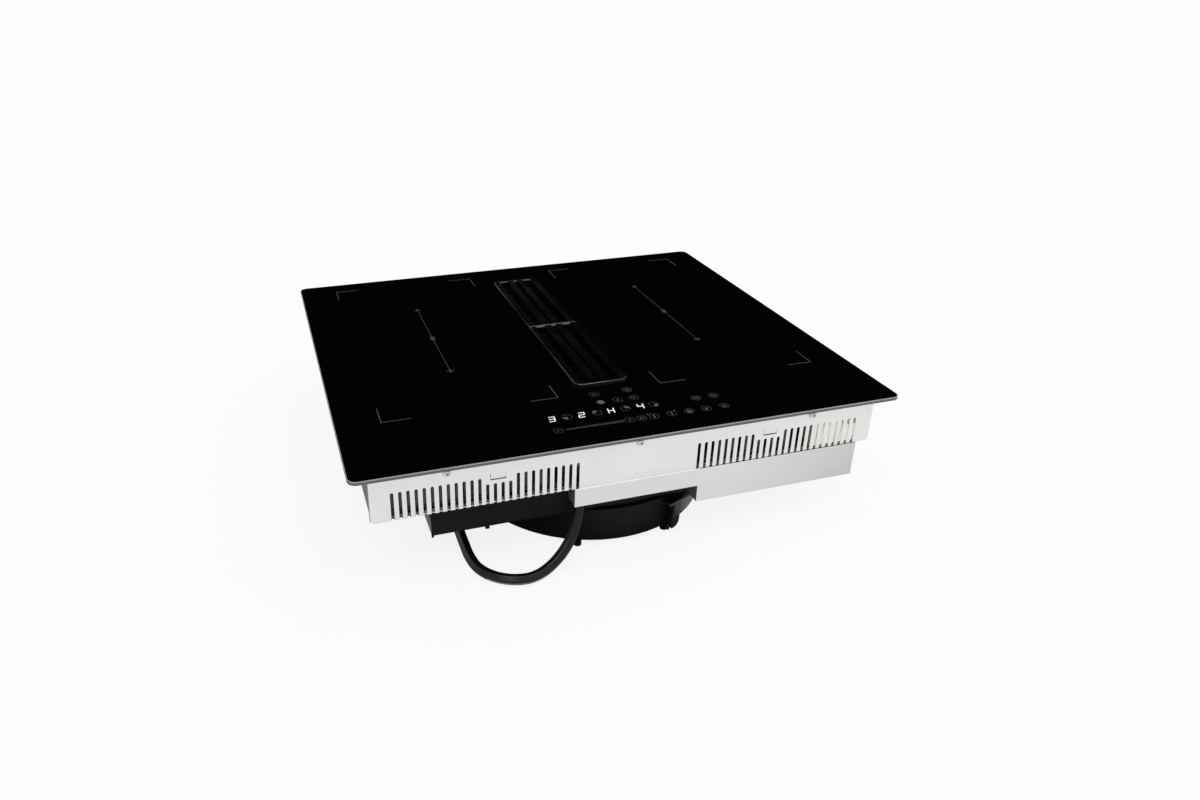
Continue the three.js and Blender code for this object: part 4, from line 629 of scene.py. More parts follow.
# The touch field is printed finer and fainter than the zones. Each key has its place and its sign, in lines
# of (x0, y0, x1, y1, width) and spots of (x, y, radius) from its middle
marks = bmesh.new()
RING_RADIUS = 5.2
RING_WIDTH = 0.28
FAR_ROW = -159.6
WARM_ROW = -178.5
DIGIT_ROW = -199.2
NEAR_ROW = -223.4
keys = {
    "mode": (-18.8, FAR_ROW, ((-2.4, -1.2, 0, 1.4, 0.58), (0, 1.4, 2.4, -1.2, 0.58))),
    "fan": (19.2, FAR_ROW, ((-2.9, 0, 2.9, 0, 0.65), (-1.45, -2.511, 1.45, 2.511, 0.65),
                            (1.45, -2.511, -1.45, 2.511, 0.65), (0, 0, 0.86))),
    "hold_warm": (-18.8, WARM_ROW, ((0, 0, 4.1),)),
    "melt": (0.4, WARM_ROW, ((0, -0.8, 1.3), (0, -0.8, 0.5, 2.4, 0.65))),
    "simmer": (19.2, WARM_ROW, ((-1.9, -2.6, 1.9, 2.6, 0.58), (2.1, -1.2, 0.65), (-2.0, 1.2, 0.7))),
    "bars": (81.9, DIGIT_ROW, ((-2.1, -2.6, -2.1, 2.6, 0.68), (0, -2.6, 0, 2.6, 0.68),
                               (2.1, -2.6, 2.1, 2.6, 0.68))),
    "boost": (102.7, DIGIT_ROW, ((-3.0, -2.4, -1.2, 2.4, 0.65), (-0.9, -2.4, 0.9, 2.4, 0.65),
                                 (1.2, -2.4, 3.0, 2.4, 0.65))),
    "less": (-81.5, NEAR_ROW, ((-2.3, 0, 2.3, 0, 0.65),)),
    "more": (-4.6, NEAR_ROW, ((-2.3, 0, 2.3, 0, 0.65), (0, -2.3, 0, 2.3, 0.65))),
    "pause": (8.5, NEAR_ROW, ((-1.8, -2.6, -0.8, 2.6, 0.72), (1.0, -2.6, 2.0, 2.6, 0.72))),
    "timer_left": (22.3, NEAR_ROW, ((0, -3, 0, 3, 1.22), (-4.6, 4.0, -5.6, 6.4, 0.86))),
    "timer_right": (42.3, NEAR_ROW, ((0, -3, 0, 3, 1.22), (4.6, 4.0, 5.6, 6.4, 0.86))),
    "lock": (61.9, NEAR_ROW, ((-2, -0.2, 2, -0.2, 1.01),)),
    "grille": (81.9, NEAR_ROW, ((-2.1, -2.0, -0.4, 2.6, 0.58), (0.6, -2.0, 2.3, 2.6, 0.58),
                                (-1.2, -1.6, 1.3))),
    "power": (102.7, NEAR_ROW, ((0, 0, 0, 3.2, 0.58),)),
}
for key, (x, y, strokes) in keys.items():
    if key != "hold_warm":
        hoop(marks, x, y, RING_RADIUS, RING_WIDTH)
    for stroke in strokes:
        if len(stroke) == 3:
            dot(marks, x + stroke[0], y + stroke[1], stroke[2])
        else:
            line(marks, x + stroke[0], y + stroke[1], x + stroke[2], y + stroke[3], stroke[4])
# the lock's body and bow, and the power sign's open ring
x, y = keys["lock"][:2]
sector(marks, x, y - 0.6, 3.0, math.pi, math.pi)
hoop(marks, x, y + 1.2, 2.0, 0.7)
x, y = keys["power"][:2]
sector(marks, x, y - 0.2, 2.7, math.radians(125), math.radians(290), inner=2.0)

# The pan position signs: a ring with the quarter of its own zone filled
for x, quarter in ((-63.8, 2), (-31.2, 1), (0.8, 0), (32.7, 3)):
    hoop(marks, x, DIGIT_ROW, RING_RADIUS, RING_WIDTH)
    sector(marks, x, DIGIT_ROW, 4.6, quarter * math.pi / 2, math.pi / 2)

# The power slider: a wedge of fine slanting strokes between two hairlines
SLIDER_LEFT = -73.8
SLIDER_RIGHT = -11.5
SLIDER_STROKES = 56
for i in range(SLIDER_STROKES):
    share = i / (SLIDER_STROKES - 1)
    x = SLIDER_LEFT + (SLIDER_RIGHT - SLIDER_LEFT) * share
    half = 0.45 + 1.3 * share
    line(marks, x - half * 0.4, -223.6 - half, x + half * 0.4, -223.6 + half, 0.24)
line(marks, SLIDER_LEFT, -224.2, SLIDER_RIGHT, -225.5, 0.24)
line(marks, SLIDER_LEFT, -223.0, SLIDER_RIGHT, -221.7, 0.24)
raise_print(marks)
finish_piece("printed_touch_field", marks, [faint_ink], "hob", 30)

# Lit digits: seven-segment figures behind the glass that glow white through it, leaning a little, brighter
# and dimmer by the 2 mm of each lamp behind them
lit_white = new_material(
    "lit_segment", {"Base Color": linear("d2d5d8"), "Roughness": 0.4, "Emission Color": linear("f0f4fc")},
    ("ShaderNodeTexNoise", {"Scale": 500.0}, {"Emission Strength": (0.3, 0.42)}),
)

DIGIT_WIDTH = 7.4
DIGIT_HEIGHT = 10.6
SEGMENT = 1.35
LEAN = math.tan(math.radians(10))
w, h = (DIGIT_WIDTH - SEGMENT) / 2, (DIGIT_HEIGHT - SEGMENT) / 2
segments = {
    "top": (-w, h, w, h), "middle": (-w, 0, w, 0), "bottom": (-w, -h, w, -h),
    "upper_left": (-w, 0, -w, h), "upper_right": (w, 0, w, h),
    "lower_left": (-w, -h, -w, 0), "lower_right": (w, -h, w, 0),
}
figures = (
    (-80.4, "top upper_right middle lower_right bottom"),
    (-48.0, "top upper_right middle lower_left bottom"),
    (-15.4, "upper_left upper_right middle lower_left lower_right"),
    (17.7, "upper_left upper_right middle lower_right"),
)
digits_mesh = bmesh.new()
for x, lit in figures:
    for segment in lit.split():
        x0, y0, x1, y1 = segments[segment]
        reach_x, reach_y = (0, 0.275 * SEGMENT) if x0 == x1 else (0.2, 0)
        verts = line(digits_mesh, x0 - reach_x, y0 - reach_y, x1 + reach_x, y1 + reach_y, SEGMENT)
        for vert in verts:
            vert.co.x += vert.co.y * LEAN
        put(digits_mesh, verts, at=(x, DIGIT_ROW, 0))
raise_print(digits_mesh)
finish_piece("lit_digits", digits_mesh, [lit_white], "hob", 30)

# --------------------------------------------------------
# Intake grille. Two lift-out halves cast in aluminium and enamelled black: a thin flange that lies on the
# glass, a body that drops into the opening, and three long slots in each half.

# Satin enamel on a casting: glossier than the mouldings, with clouds of 33 mm and a soft orange peel of
# 2.4 mm that breaks the highlights
grille_enamel = new_material(
    "satin_enamelled_casting", {"IOR": 1.62},
    ("ShaderNodeTexNoise", {"Scale": 30.0}, {"Base Color": ("040404", "080808"), "Roughness": (0.1, 0.18)}),
    ("ShaderNodeTexNoise", {"Scale": 420.0, "Detail": 3.0}, {"Normal": (0.25, 0.0001)}),
)

FLANGE_TOP = 156.8
FLANGE_UNDER = 155.3
FLANGE_REACH = 2.8  # how far the flange reaches past the body
GRILLE_UNDER = 146
SLOT_CORNER = 1.2
slots = ((-22.5, -11.5), (-2.5, 2.5), (11.5, 22.5))


def grille_half(name, y0, y1, slot_y0, slot_y1, front_corner, rear_corner, node, body):
    """One half: rounded flange, stepped in to the body, with chamfered slots right through."""
    bm = bmesh.new()
    flange = (-31, 31, y0, y1)
    sunk = (-28.2, 28.2, y0 + (FLANGE_REACH if front_corner > FLANGE_REACH else 0),
            y1 - (FLANGE_REACH if rear_corner > FLANGE_REACH else 0))
    sunk_corners = [max(corner - FLANGE_REACH, 0.4) for corner in (front_corner, rear_corner)]
    outside = []
    for z, inset in ((FLANGE_TOP, 0.6), (FLANGE_TOP, 0.42), (FLANGE_TOP - 0.08, 0.36),
                     (FLANGE_TOP - 0.36, 0.08), (FLANGE_TOP - 0.44, 0), (FLANGE_UNDER, 0)):
        outside.append(rounded_ring(bm, *flange, z, front_corner, rear_corner, inset=inset))
    for z in (FLANGE_UNDER, GRILLE_UNDER):
        outside.append(rounded_ring(bm, *sunk, z, *sunk_corners))
    tops, unders = [outside[0]], [outside[-1]]
    for x0, x1 in slots:
        wall = []
        for z, slope, inset in ((FLANGE_TOP, 1.0, -0.35), (FLANGE_TOP, 1.0, -0.22),
                                (FLANGE_TOP - 0.22, 0.9, 0), (FLANGE_TOP - 1.2, 0, 0), (GRILLE_UNDER, 0, 0)):
            wall.append(rounded_ring(bm, x0, x1, slot_y0, slot_y1 + slope, z, SLOT_CORNER, inset=inset))
        bridge(bm, wall)
        tops.append(wall[0])
        unders.append(wall[-1])
    bridge(bm, outside)
    for rings in (tops, unders):
        # fills the outermost ring and leaves the slots open
        bmesh.ops.triangle_fill(bm, edges=[edge for ring in rings for edge in ring], use_beauty=True)
    bmesh.ops.recalc_face_normals(bm, faces=bm.faces)
    half = finish_piece(name, bm, [grille_enamel], body, 35)
    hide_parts(node)


grille_half("front_grille_casting", -137, GRILLE_SEAM - 0.3, -132, 32, 9, 1, "grille_front", "front_grille")
grille_half("rear_grille_casting", GRILLE_SEAM + 0.3, 206, 37, 201, 1, 9, "grille_rear", "rear_grille")

# --------------------------------------------------------
# Grease filters. A folded aluminium frame drops under each grille half and holds a panel of stretched
# metal, both anodised black to match the intake. They lift out with the grille.


def rounded_copy(name, node, edge, materials, sharp=30, segments=2):
    """A CAD node with its flat faces merged and its edges rounded, put in its place."""
    bm = bmesh.new()
    bm.from_mesh(nodes[node].data)
    bmesh.ops.scale(bm, vec=(1000, 1000, 1000), verts=bm.verts)
    bmesh.ops.remove_doubles(bm, verts=bm.verts, dist=0.002)
    bmesh.ops.dissolve_limit(bm, angle_limit=math.radians(0.5), verts=bm.verts, edges=bm.edges)
    bmesh.ops.recalc_face_normals(bm, faces=bm.faces)
    if edge:
        keen = [e for e in bm.edges if e.is_manifold and e.calc_face_angle() > math.radians(sharp)]
        bmesh.ops.bevel(bm, geom=keen, offset=edge, affect="EDGES", segments=segments, profile=0.5,
                        material=-1, clamp_overlap=True)
    piece = finish_piece(name, bm, materials, nodes[node]["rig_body"], sharp)
    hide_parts(node)
    return piece


# Black anodising: a dark grey metal sheen on each strand and fold, uneven at the strands' 1.2 mm
black_anodised = new_material(
    "black_anodised_mesh", {"Metallic": 1.0, "Roughness": 0.45},
    ("ShaderNodeTexNoise", {"Scale": 800.0}, {"Base Color": ("222223", "3a3a3b"), "Normal": (0.4, 0.0002)}),
)

for place_name in ("front", "rear"):
    rounded_copy(f"filter_frame_{place_name}", f"grease_filter_{place_name}", 0.2, [black_anodised])
    rounded_copy(f"stretched_mesh_{place_name}", f"filter_mesh_{place_name}", 0.25, [black_anodised],
                 segments=1)

# --------------------------------------------------------
# Seals and intake well. A foam seal under the glass edge for the worktop, a soft gasket under the cut-out,
# and the moulded black well that carries steam and drips down to the extractor.

# Closed-cell EPDM foam: dead matt black with pores of 0.8 mm
foam = new_material(
    "closed_cell_foam", {"Roughness": 0.9, "Base Color": linear("1b1b1b")},
    ("ShaderNodeTexVoronoi", {"Scale": 1300.0}, {"Normal": (0.5, 0.0002)}),
)
# Glass-filled nylon with a spark-eroded texture: satin black that greys where it faces the light. It flowed
# into the mould in clouds of 110 mm, and the texture is drawn at 0.9 mm, as coarse as it needs to show
moulded = new_material(
    "textured_black_moulding", {"IOR": 1.2},
    ("ShaderNodeTexNoise", {"Scale": 9.0, "Distortion": 1.2}, {"Base Color": ("080809", "0f0f10")}),
    ("ShaderNodeTexNoise", {"Scale": 1100.0, "Detail": 4.0},
     {"Roughness": (0.42, 0.6), "Normal": (0.2, 0.0001)}),
)

rounded_copy("foam_seal", "worktop_seal", 0.4, [foam])
rounded_copy("opening_gasket", "well_gasket", 0.6, [foam])
rounded_copy("moulded_intake_well", "intake_well", 0.5, [moulded])

# --------------------------------------------------------
# Sheet-metal casing. 1 mm zinc-plated steel, punched flat and folded: a front and a rear panel with laps
# round the corners and a foot under the floor, plain sides, and a floor pan.
CASE_FRONT = -243
CASE_TOP = 150.7
SHEET = 1.0
BEND = 1.5  # outside radius
BEND_ARC = BEND * math.pi / 2
BEND_START = 96.5  # height at which the foot's bend begins
LAP_START = 274.5
LAP = 4.5
LAP_FOOT = 97
FOOT = 4.5
FOOT_END = 273.2
FOOT_CHAMFER = 2

# Bright zinc plate on cold-rolled steel: a pale grey, clouded every 55 mm, with a soft, broad reflection. The
# rolling marks are 11 mm long and drawn 0.7 mm wide, coarser than they are, so that they show
zinc = new_material(
    "zinc_plated_steel", {"Metallic": 1.0},
    ("ShaderNodeTexNoise", {"Scale": 18.0, "Detail": 4.0, "Roughness": 0.6},
     {"Base Color": ("e2e3e1", "eeefed"), "Roughness": (0.36, 0.52)}),
    ("ShaderNodeTexNoise", {"Scale": 1.0}, {"Normal": (0.12, 0.0001)}, {"Scale": (90.0, 1400.0, 1400.0)}),
)


def fold(bm, start, away, hinge, cuts=4):
    """Folds what lies beyond a line through a right angle, round the outside radius of the bend."""
    start, away = Vector(start), Vector(away)
    for cut in reversed(range(cuts)):
        at = start + away * BEND_ARC * (cut + 0.5) / cuts
        geometry = bm.verts[:] + bm.edges[:] + bm.faces[:]
        bmesh.ops.bisect_plane(bm, geom=geometry, dist=0.0001, plane_co=at, plane_no=away)
        beyond = [vert for vert in bm.verts if (vert.co - at).dot(away) > 0.001]
        bmesh.ops.rotate(bm, cent=at, matrix=Matrix.Rotation(math.pi / 2 / cuts, 3, hinge), verts=beyond)


SLOTS_A_SIDE = 25
SLOT_FIRST = 66.9
SLOT_PITCH = 7.8
SLOT_RADIUS = 1.75
SLOT_CENTRE = 94.39  # the lower end's middle, round the bend, in the flat sheet
SLOT_TOP = 126.5
SHORT_SLOT_TOP = 118.8  # under the lanced tab
TAB_X = 149.6
TAB_TOP = 130.25
SCREW_X = 200
SCREW_Z = 138.5
DIMPLE_RADIUS = 6.2
DIMPLE_DEPTH = 1.1


def upright_circle(bm, x, z, radius, steps):
    """A hole's face in the flat sheet."""
    before = set(bm.faces)
    verts = bmesh.ops.create_circle(bm, cap_ends=True, segments=steps, radius=radius)["verts"]
    put(bm, verts, turn=math.pi / steps)
    put(bm, verts, turn=math.pi / 2, axis="X", at=(x, CASE_FRONT, z))
    return next(face for face in bm.faces if face not in before)


def casing_panel(name, node, vented):
    """A front or rear panel: punched flat with its laps, then folded; the rear one is turned round."""
    bm = bmesh.new()
    lap_end, foot_end = LAP_START + BEND_ARC + LAP, BEND_START - BEND_ARC - FOOT
    half_outline = [(FOOT_END - FOOT_CHAMFER, foot_end), (FOOT_END, foot_end + FOOT_CHAMFER),
                    (FOOT_END, LAP_FOOT), (lap_end, LAP_FOOT), (lap_end, CASE_TOP)]
    outline = bm.faces.new([bm.verts.new((x, CASE_FRONT, z)) for x, z in
                            [(-x, z) for x, z in reversed(half_outline)] + half_outline])
    openings = []
    dimples = [upright_circle(bm, x, SCREW_Z, DIMPLE_RADIUS, 24) for x in (-SCREW_X, 0, SCREW_X)]
    if vented:
        for side in (-1, 1):
            for i in range(SLOTS_A_SIDE):
                slot = upright_circle(bm, side * (SLOT_FIRST + i * SLOT_PITCH), SLOT_CENTRE, SLOT_RADIUS, 12)
                top = SHORT_SLOT_TOP if 9 <= i <= 12 else SLOT_TOP
                upper = [vert for vert in slot.verts if vert.co.z > SLOT_CENTRE]
                put(bm, upper, at=(0, 0, top - SLOT_CENTRE - SLOT_RADIUS))
                openings.append(slot)
            window = [bm.verts.new((side * TAB_X + dx, CASE_FRONT, TAB_TOP + dz))
                      for dx, dz in ((-8, 0), (8, 0), (8, -7.5), (-8, -7.5))]
            openings.append(bm.faces.new(window))
    rims = [face.edges[:] for face in dimples]
    edges = outline.edges[:] + [edge for face in openings + dimples for edge in face.edges]
    bmesh.ops.delete(bm, geom=[outline, *openings, *dimples], context="FACES_ONLY")
    bmesh.ops.triangle_fill(bm, edges=edges, use_beauty=True)
    for rim in rims:
        # a pressed dimple with a flat floor, so that the screw's head sits back
        verts = list({vert for edge in rim for vert in edge.verts})
        middle = sum((vert.co for vert in verts), Vector()) / len(verts)
        skirt = bmesh.ops.extrude_edge_only(bm, edges=rim)["geom"]
        inner = only(BMVert, skirt)
        bmesh.ops.scale(bm, vec=(0.68, 1, 0.68), verts=inner, space=Matrix.Translation(-middle))
        put(bm, inner, at=(0, DIMPLE_DEPTH, 0))
        floor_edges = [edge for edge in only(BMEdge, skirt) if all(v in inner for v in edge.verts)]
        bmesh.ops.edgenet_fill(bm, edges=floor_edges)
    bmesh.ops.recalc_face_normals(bm, faces=bm.faces)
    if sum(face.normal.y * face.calc_area() for face in bm.faces) > 0:
        bmesh.ops.reverse_faces(bm, faces=bm.faces)
    for side, hinge in ((-1, (0, 0, -1)), (1, (0, 0, 1))):
        fold(bm, (side * LAP_START, CASE_FRONT, 0), (side, 0, 0), hinge)
    fold(bm, (0, CASE_FRONT, BEND_START), (0, 0, -1), (1, 0, 0))
    if vented:
        for side in (-1, 1):
            # the lanced tab hangs from the window's top edge, pressed in at its foot
            tab = [bm.verts.new((side * TAB_X + dx, CASE_FRONT, TAB_TOP + dz))
                   for dx, dz in ((-7.4, 0), (7.9, 0), (7.9, -6.8), (-7.4, -6.8))]
            bmesh.ops.rotate(bm, cent=tab[0].co, matrix=Matrix.Rotation(math.radians(7), 3, "X"), verts=tab)
            face = bm.faces.new(tab)
            face.normal_update()
            if face.normal.y > 0:
                face.normal_flip()
    if not vented:
        put(bm, bm.verts, turn=math.pi)
    bmesh.ops.solidify(bm, geom=bm.faces[:], thickness=SHEET)
    bmesh.ops.recalc_face_normals(bm, faces=bm.faces)
    panel = finish_piece(name, bm, [zinc], "hob", 35)
    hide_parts(node)


casing_panel("folded_front_panel", "front_panel", vented=True)
casing_panel("folded_rear_panel", "rear_panel", vented=False)
for side_name in ("left", "right"):
    rounded_copy(f"casing_side_{side_name}", f"side_panel_{side_name}", 0.25, [zinc])
rounded_copy("floor_pan", "bottom_pan", 0.2, [zinc], segments=1)

# --------------------------------------------------------
# Casing screws. Zinc-plated steel pan heads with a cross recess, three in front and three behind. Each sits
# in a pressed dimple of its panel, and its crown stands 2 mm proud of the sheet.

# Bright zinc plate: mirrors more sharply than the sheet, dulled in spots of 1.1 mm
plated = new_material(
    "bright_zinc_plate", {"Metallic": 1.0, "Base Color": linear("cfd0cf")},
    ("ShaderNodeTexNoise", {"Scale": 900.0}, {"Roughness": (0.18, 0.34)}),
)
# The recess is the same plate in its own shadow, with the driver's marks at 0.7 mm
recess_shade = new_material(
    "screw_recess_shade", {"Metallic": 1.0, "Roughness": 0.6},
    ("ShaderNodeTexNoise", {"Scale": 1500.0}, {"Base Color": ("2c2c2c", "454545")}),
)
SCREW_CROWN = -2.05  # the head's highest point in front of the panel


def casing_screw(name, node, x, turn):
    """A pan head on its washer face. Two thin dark bars let into its crown show the cross recess."""
    bm = bmesh.new()
    spin_profile(bm, [(0, 0.75), (4.0, 0.75), (4.0, 0.2), (3.5, 0.1), (3.4, -0.7), (2.9, -1.5), (2.0, -1.95),
                      (0, SCREW_CROWN)], (0, 0), 24)
    for arm in range(2):
        recess = bmesh.ops.create_cube(bm, size=1)["verts"]
        put(bm, recess, (3.0, 0.75, 0.06), arm * math.pi / 2 + turn, at=(0, 0, SCREW_CROWN - 0.01))
        for face in {face for vert in recess for face in vert.link_faces}:
            face.material_index = 1
    put(bm, bm.verts, turn=-math.pi / 2, axis="X", at=(x, CASE_FRONT, SCREW_Z))
    if node.startswith("rear"):
        put(bm, bm.verts, turn=math.pi)
    screw = finish_piece(name, bm, [plated, recess_shade], "hob", 40)
    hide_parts(node)


for row in ("front", "rear"):
    for spot, x, turn in (("left", -SCREW_X, 0.4), ("centre", 0, 1.1), ("right", SCREW_X, 0.1)):
        casing_screw(f"{row}_panel_screw_{spot}", f"{row}_screw_{spot}", x, turn)

# --------------------------------------------------------
# Middle lip and electronics box. Both are folded from the same sheet and hang under the casing: a shallow
# channel in the middle with its left end turned back, and a deep closed box under the right-hand vents.

# Their left ends take a dull dark grey: painted shade, for the shadow that falls under the casing, clouded
# every 33 mm
shaded_end_zinc = new_material(
    "zinc_plate_painted_shade", {"Metallic": 1.0, "Roughness": 0.55},
    ("ShaderNodeTexNoise", {"Scale": 30.0, "Detail": 4.0}, {"Base Color": ("747575", "929393")}),
)
# Both are the casing's plate painted a shade greyer, as painted shade where they hang under the casing, with
# the same 55 mm clouds; the box's painted shade deepens towards its right end
SHADE_FROM = 0.11
SHADE_OVER = 0.15
shaded_zinc = new_material(
    "zinc_plated_steel_painted_shade", {"Metallic": 1.0},
    ("ShaderNodeTexGradient", {}, {"Base Color": ("dcdddb", "cdcecc")},
     {"Location": (-SHADE_FROM / SHADE_OVER, 0, 0), "Scale": (1 / SHADE_OVER, 1, 1)}),
    ("ShaderNodeTexNoise", {"Scale": 18.0, "Detail": 4.0}, {"Roughness": (0.36, 0.5)}),
)

for piece_name, node, edge in (("channel_lip", "front_lip", 0.3),
                               ("folded_electronics_box", "electronics_box", 0.25)):
    hung = rounded_copy(piece_name, node, edge, [shaded_zinc, shaded_end_zinc])
    # their left-facing faces take the darker plate above: painted shade
    for face in hung.data.polygons:
        if face.normal.x < -0.9:
            face.material_index = 1


def block(bm, x0, x1, y0, y1, z0, z1, edge=0.0):
    """A block between two corners, its edges rounded off."""
    before = set(bm.verts)
    corners = bmesh.ops.create_cube(bm, size=1)["verts"]
    put(bm, corners, (x1 - x0, y1 - y0, z1 - z0), at=((x0 + x1) / 2, (y0 + y1) / 2, (z0 + z1) / 2))
    if edge:
        edges = list({e for vert in corners for e in vert.link_edges})
        bmesh.ops.bevel(bm, geom=edges, offset=edge, affect="EDGES", segments=2, profile=0.5, material=-1)
    return [vert for vert in bm.verts if vert not in before]


# The lip's face stands 1.5 mm in front of the casing, so that its folded top edge catches light
lip_face = bmesh.new()
LIP_FRONT = -244.5
LIP_TOP = 96.2
block(lip_face, -70, 68.7, LIP_FRONT, CASE_FRONT - 0.02, 75, LIP_TOP)
brow = [e for e in lip_face.edges if all(v.co.y == LIP_FRONT and v.co.z > LIP_TOP - 0.01 for v in e.verts)]
bmesh.ops.bevel(lip_face, geom=brow, offset=0.8, affect="EDGES", segments=4, profile=0.5, material=-1)
lip_face.normal_update()
for face in lip_face.faces:
    # the fold takes the casing's paler plate: a painted highlight along the top edge
    if 0.1 < face.normal.z < 0.95:
        face.material_index = 1
finish_piece("channel_lip_face", lip_face, [shaded_zinc, zinc], "hob")

# --------------------------------------------------------
# Plenum. The black moulded box that leads the air from the well to the fan; its front shows the joint of
# its two halves, two shallow ribs, and two locating nibs under its lower edge.

# The same nylon where the mould was polished: it mirrors the room at a glancing view, in flow clouds of 70 mm
slick_nylon = new_material(
    "polished_black_moulding", {"IOR": 1.5},
    ("ShaderNodeTexNoise", {"Scale": 14.0}, {"Base Color": ("080809", "0f0f10"), "Roughness": (0.16, 0.26)}),
)

plenum = rounded_copy("moulded_plenum", "plenum_box", 1.0, [moulded, slick_nylon])
for face in plenum.data.polygons:
    if face.normal.x < -0.9:
        face.material_index = 1
rib_mesh = bmesh.new()
for x0, x1, y0, y1, z0, z1, edge in (
    (-192, -190.8, -222.6, -221.8, 74, 94.2, 0.25), (-151.2, -149.6, -222.7, -221.8, 54.6, 94.2, 0.3),
    (-108.6, -107.4, -222.6, -221.8, 66, 94.2, 0.25), (-158, -153.6, -221.9, -218, 50.9, 54.4, 0.5),
    (-213.9, -211.6, -221.9, -218.6, 51.8, 54.4, 0.4),
):
    block(rib_mesh, x0, x1, y0, y1, z0, z1, edge)
finish_piece("plenum_ribs", rib_mesh, [moulded], "hob")

# --------------------------------------------------------
# Fan housing. A shallow round drum under the plenum, with a rolled rim, eight stub feet and one spring clip
# at its front right; over it lies the plate with the fan's inlet, behind it the outlet duct.
DRUM_CENTRE = (0, -84)
rounded_copy("inlet_plate", "fan_inlet_plate", 0.8, [moulded])
rounded_copy("moulded_outlet_duct", "outlet_duct", 0.9, [moulded])
drum = rounded_copy("extractor_drum", "fan_drum", 0.7, [moulded, slick_nylon])
for face in drum.data.polygons:
    if face.normal.x > 0.5 and abs(face.normal.z) < 0.3:
        face.material_index = 1

# Acetal, which the clip needs to spring: the same black, but slick enough to glint along its edges, with flow
# marks of 8 mm
acetal = new_material(
    "black_acetal", {"IOR": 1.48},
    ("ShaderNodeTexNoise", {"Scale": 120.0}, {"Base Color": ("070708", "101011"), "Roughness": (0.2, 0.32)}),
)

# Drawn with X away from the drum and Y along its rim: a leg with a toothed edge, under a wide thin arm
CLIP_INNER = 140.9
CLIP_OUTER = 151.7
CLIP_FOOT = 7.4
LEG_SIDE = 6.8
LEG_FAR_SIDE = 4.4
LEG_TOP = 45.4
LEG_LEAN = 0.085
CLIP_BEARING = -66  # degrees round the drum, from its right
clip_mesh = bmesh.new()
block(clip_mesh, CLIP_INNER, CLIP_OUTER, -LEG_SIDE, LEG_FAR_SIDE, CLIP_FOOT, LEG_TOP)
heel = [e for e in clip_mesh.edges
        if all(v.co.y > LEG_FAR_SIDE - 1 and v.co.z < CLIP_FOOT + 1 for v in e.verts)]
bmesh.ops.bevel(clip_mesh, geom=heel, offset=8, affect="EDGES", segments=8, profile=0.5, material=-1)
keen = [e for e in clip_mesh.edges if e.calc_face_angle() > math.radians(30)]
bmesh.ops.bevel(clip_mesh, geom=keen, offset=0.9, affect="EDGES", segments=3, profile=0.5, material=-1)
for tooth in range(8):
    low = 12 + tooth * 4
    block(clip_mesh, CLIP_OUTER - 0.6, CLIP_OUTER + 0.5, -5.6, -4.4, low, low + 2.4, 0.25)
# the leg leans in towards its foot
for vert in clip_mesh.verts:
    if vert.co.x > CLIP_OUTER - 3:
        vert.co.x -= (LEG_TOP - vert.co.z) * LEG_LEAN
# arm, neck and a nub beside the foot
block(clip_mesh, CLIP_INNER, CLIP_INNER + 11.8, -17, 20, 42.6, 46.2, 0.9)
block(clip_mesh, CLIP_INNER, CLIP_INNER + 1.6, -2.5, 2.5, 46, 53.3, 0.5)
block(clip_mesh, CLIP_INNER, CLIP_INNER + 5, -10, -LEG_SIDE, 5.4, 12, 1.2)
put(clip_mesh, clip_mesh.verts, turn=math.radians(CLIP_BEARING), at=(*DRUM_CENTRE, 0))
clip = finish_piece("spring_clip", clip_mesh, [acetal], "hob")
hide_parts("drum_clip")

# --------------------------------------------------------
# Extractor fan. A flat motor in a turned steel can on the drum's floor drives a centrifugal wheel on a steel
# shaft. The wheel and its hub are moulded in grey polypropylene.

# Turned steel: rings round the shaft's axis that draw the light into streaks. They stand 0.8 mm apart,
# coarser than a tool leaves them, so that they show
turned = new_material(
    "turned_steel", {"Metallic": 1.0, "Base Color": linear("a9abad")},
    ("ShaderNodeTexWave", {"wave_type": "RINGS", "rings_direction": "Z", "Scale": 400.0, "Distortion": 0.4},
     {"Roughness": (0.26, 0.4)}, {"Location": (0.0, 0.084, 0.0)}),
)
# Grey polypropylene with talc: satin, slightly waxy, with flow marks of 17 mm
talc = new_material(
    "talc_filled_polypropylene", {"IOR": 1.49},
    ("ShaderNodeTexNoise", {"Scale": 60.0, "Detail": 3.0, "Distortion": 0.8},
     {"Base Color": ("333437", "434448"), "Roughness": (0.4, 0.55)}),
)

rounded_copy("flat_motor", "fan_motor", 0.8, [turned])
rounded_copy("turned_shaft", "fan_shaft", 0.4, [turned])
rounded_copy("centrifugal_wheel", "fan_wheel", 0.3, [talc], segments=1)
rounded_copy("centrifugal_wheel_hub", "fan_wheel_hub", 0.5, [talc])

# --------------------------------------------------------
# Induction coils. Enamelled litz strand wound flat in a spiral, bonded to the moulded carrier of its ferrite
# bars, on a folded aluminium plate that covers the electronics of its side.

# Off-white glass-filled polyamide for the carriers: dull, with fibre clouds of 4 mm
polyamide = new_material(
    "glass_filled_polyamide", {"IOR": 1.53, "Roughness": 0.55},
    ("ShaderNodeTexNoise", {"Scale": 260.0, "Detail": 3.0}, {"Base Color": ("cbc8bc", "dedbd0")}),
)
# Mill-rolled aluminium: a grain along the sheet, 17 mm long and drawn 0.6 mm wide so that it shows, stretches
# its highlights
rolled = new_material(
    "rolled_aluminium", {"Metallic": 1.0, "Roughness": 0.34},
    ("ShaderNodeTexNoise", {"Scale": 1.0, "Detail": 3.0},
     {"Base Color": ("c3c5c7", "dcdddd"), "Normal": (0.15, 0.0001)}, {"Scale": (60.0, 1600.0, 1600.0)}),
)

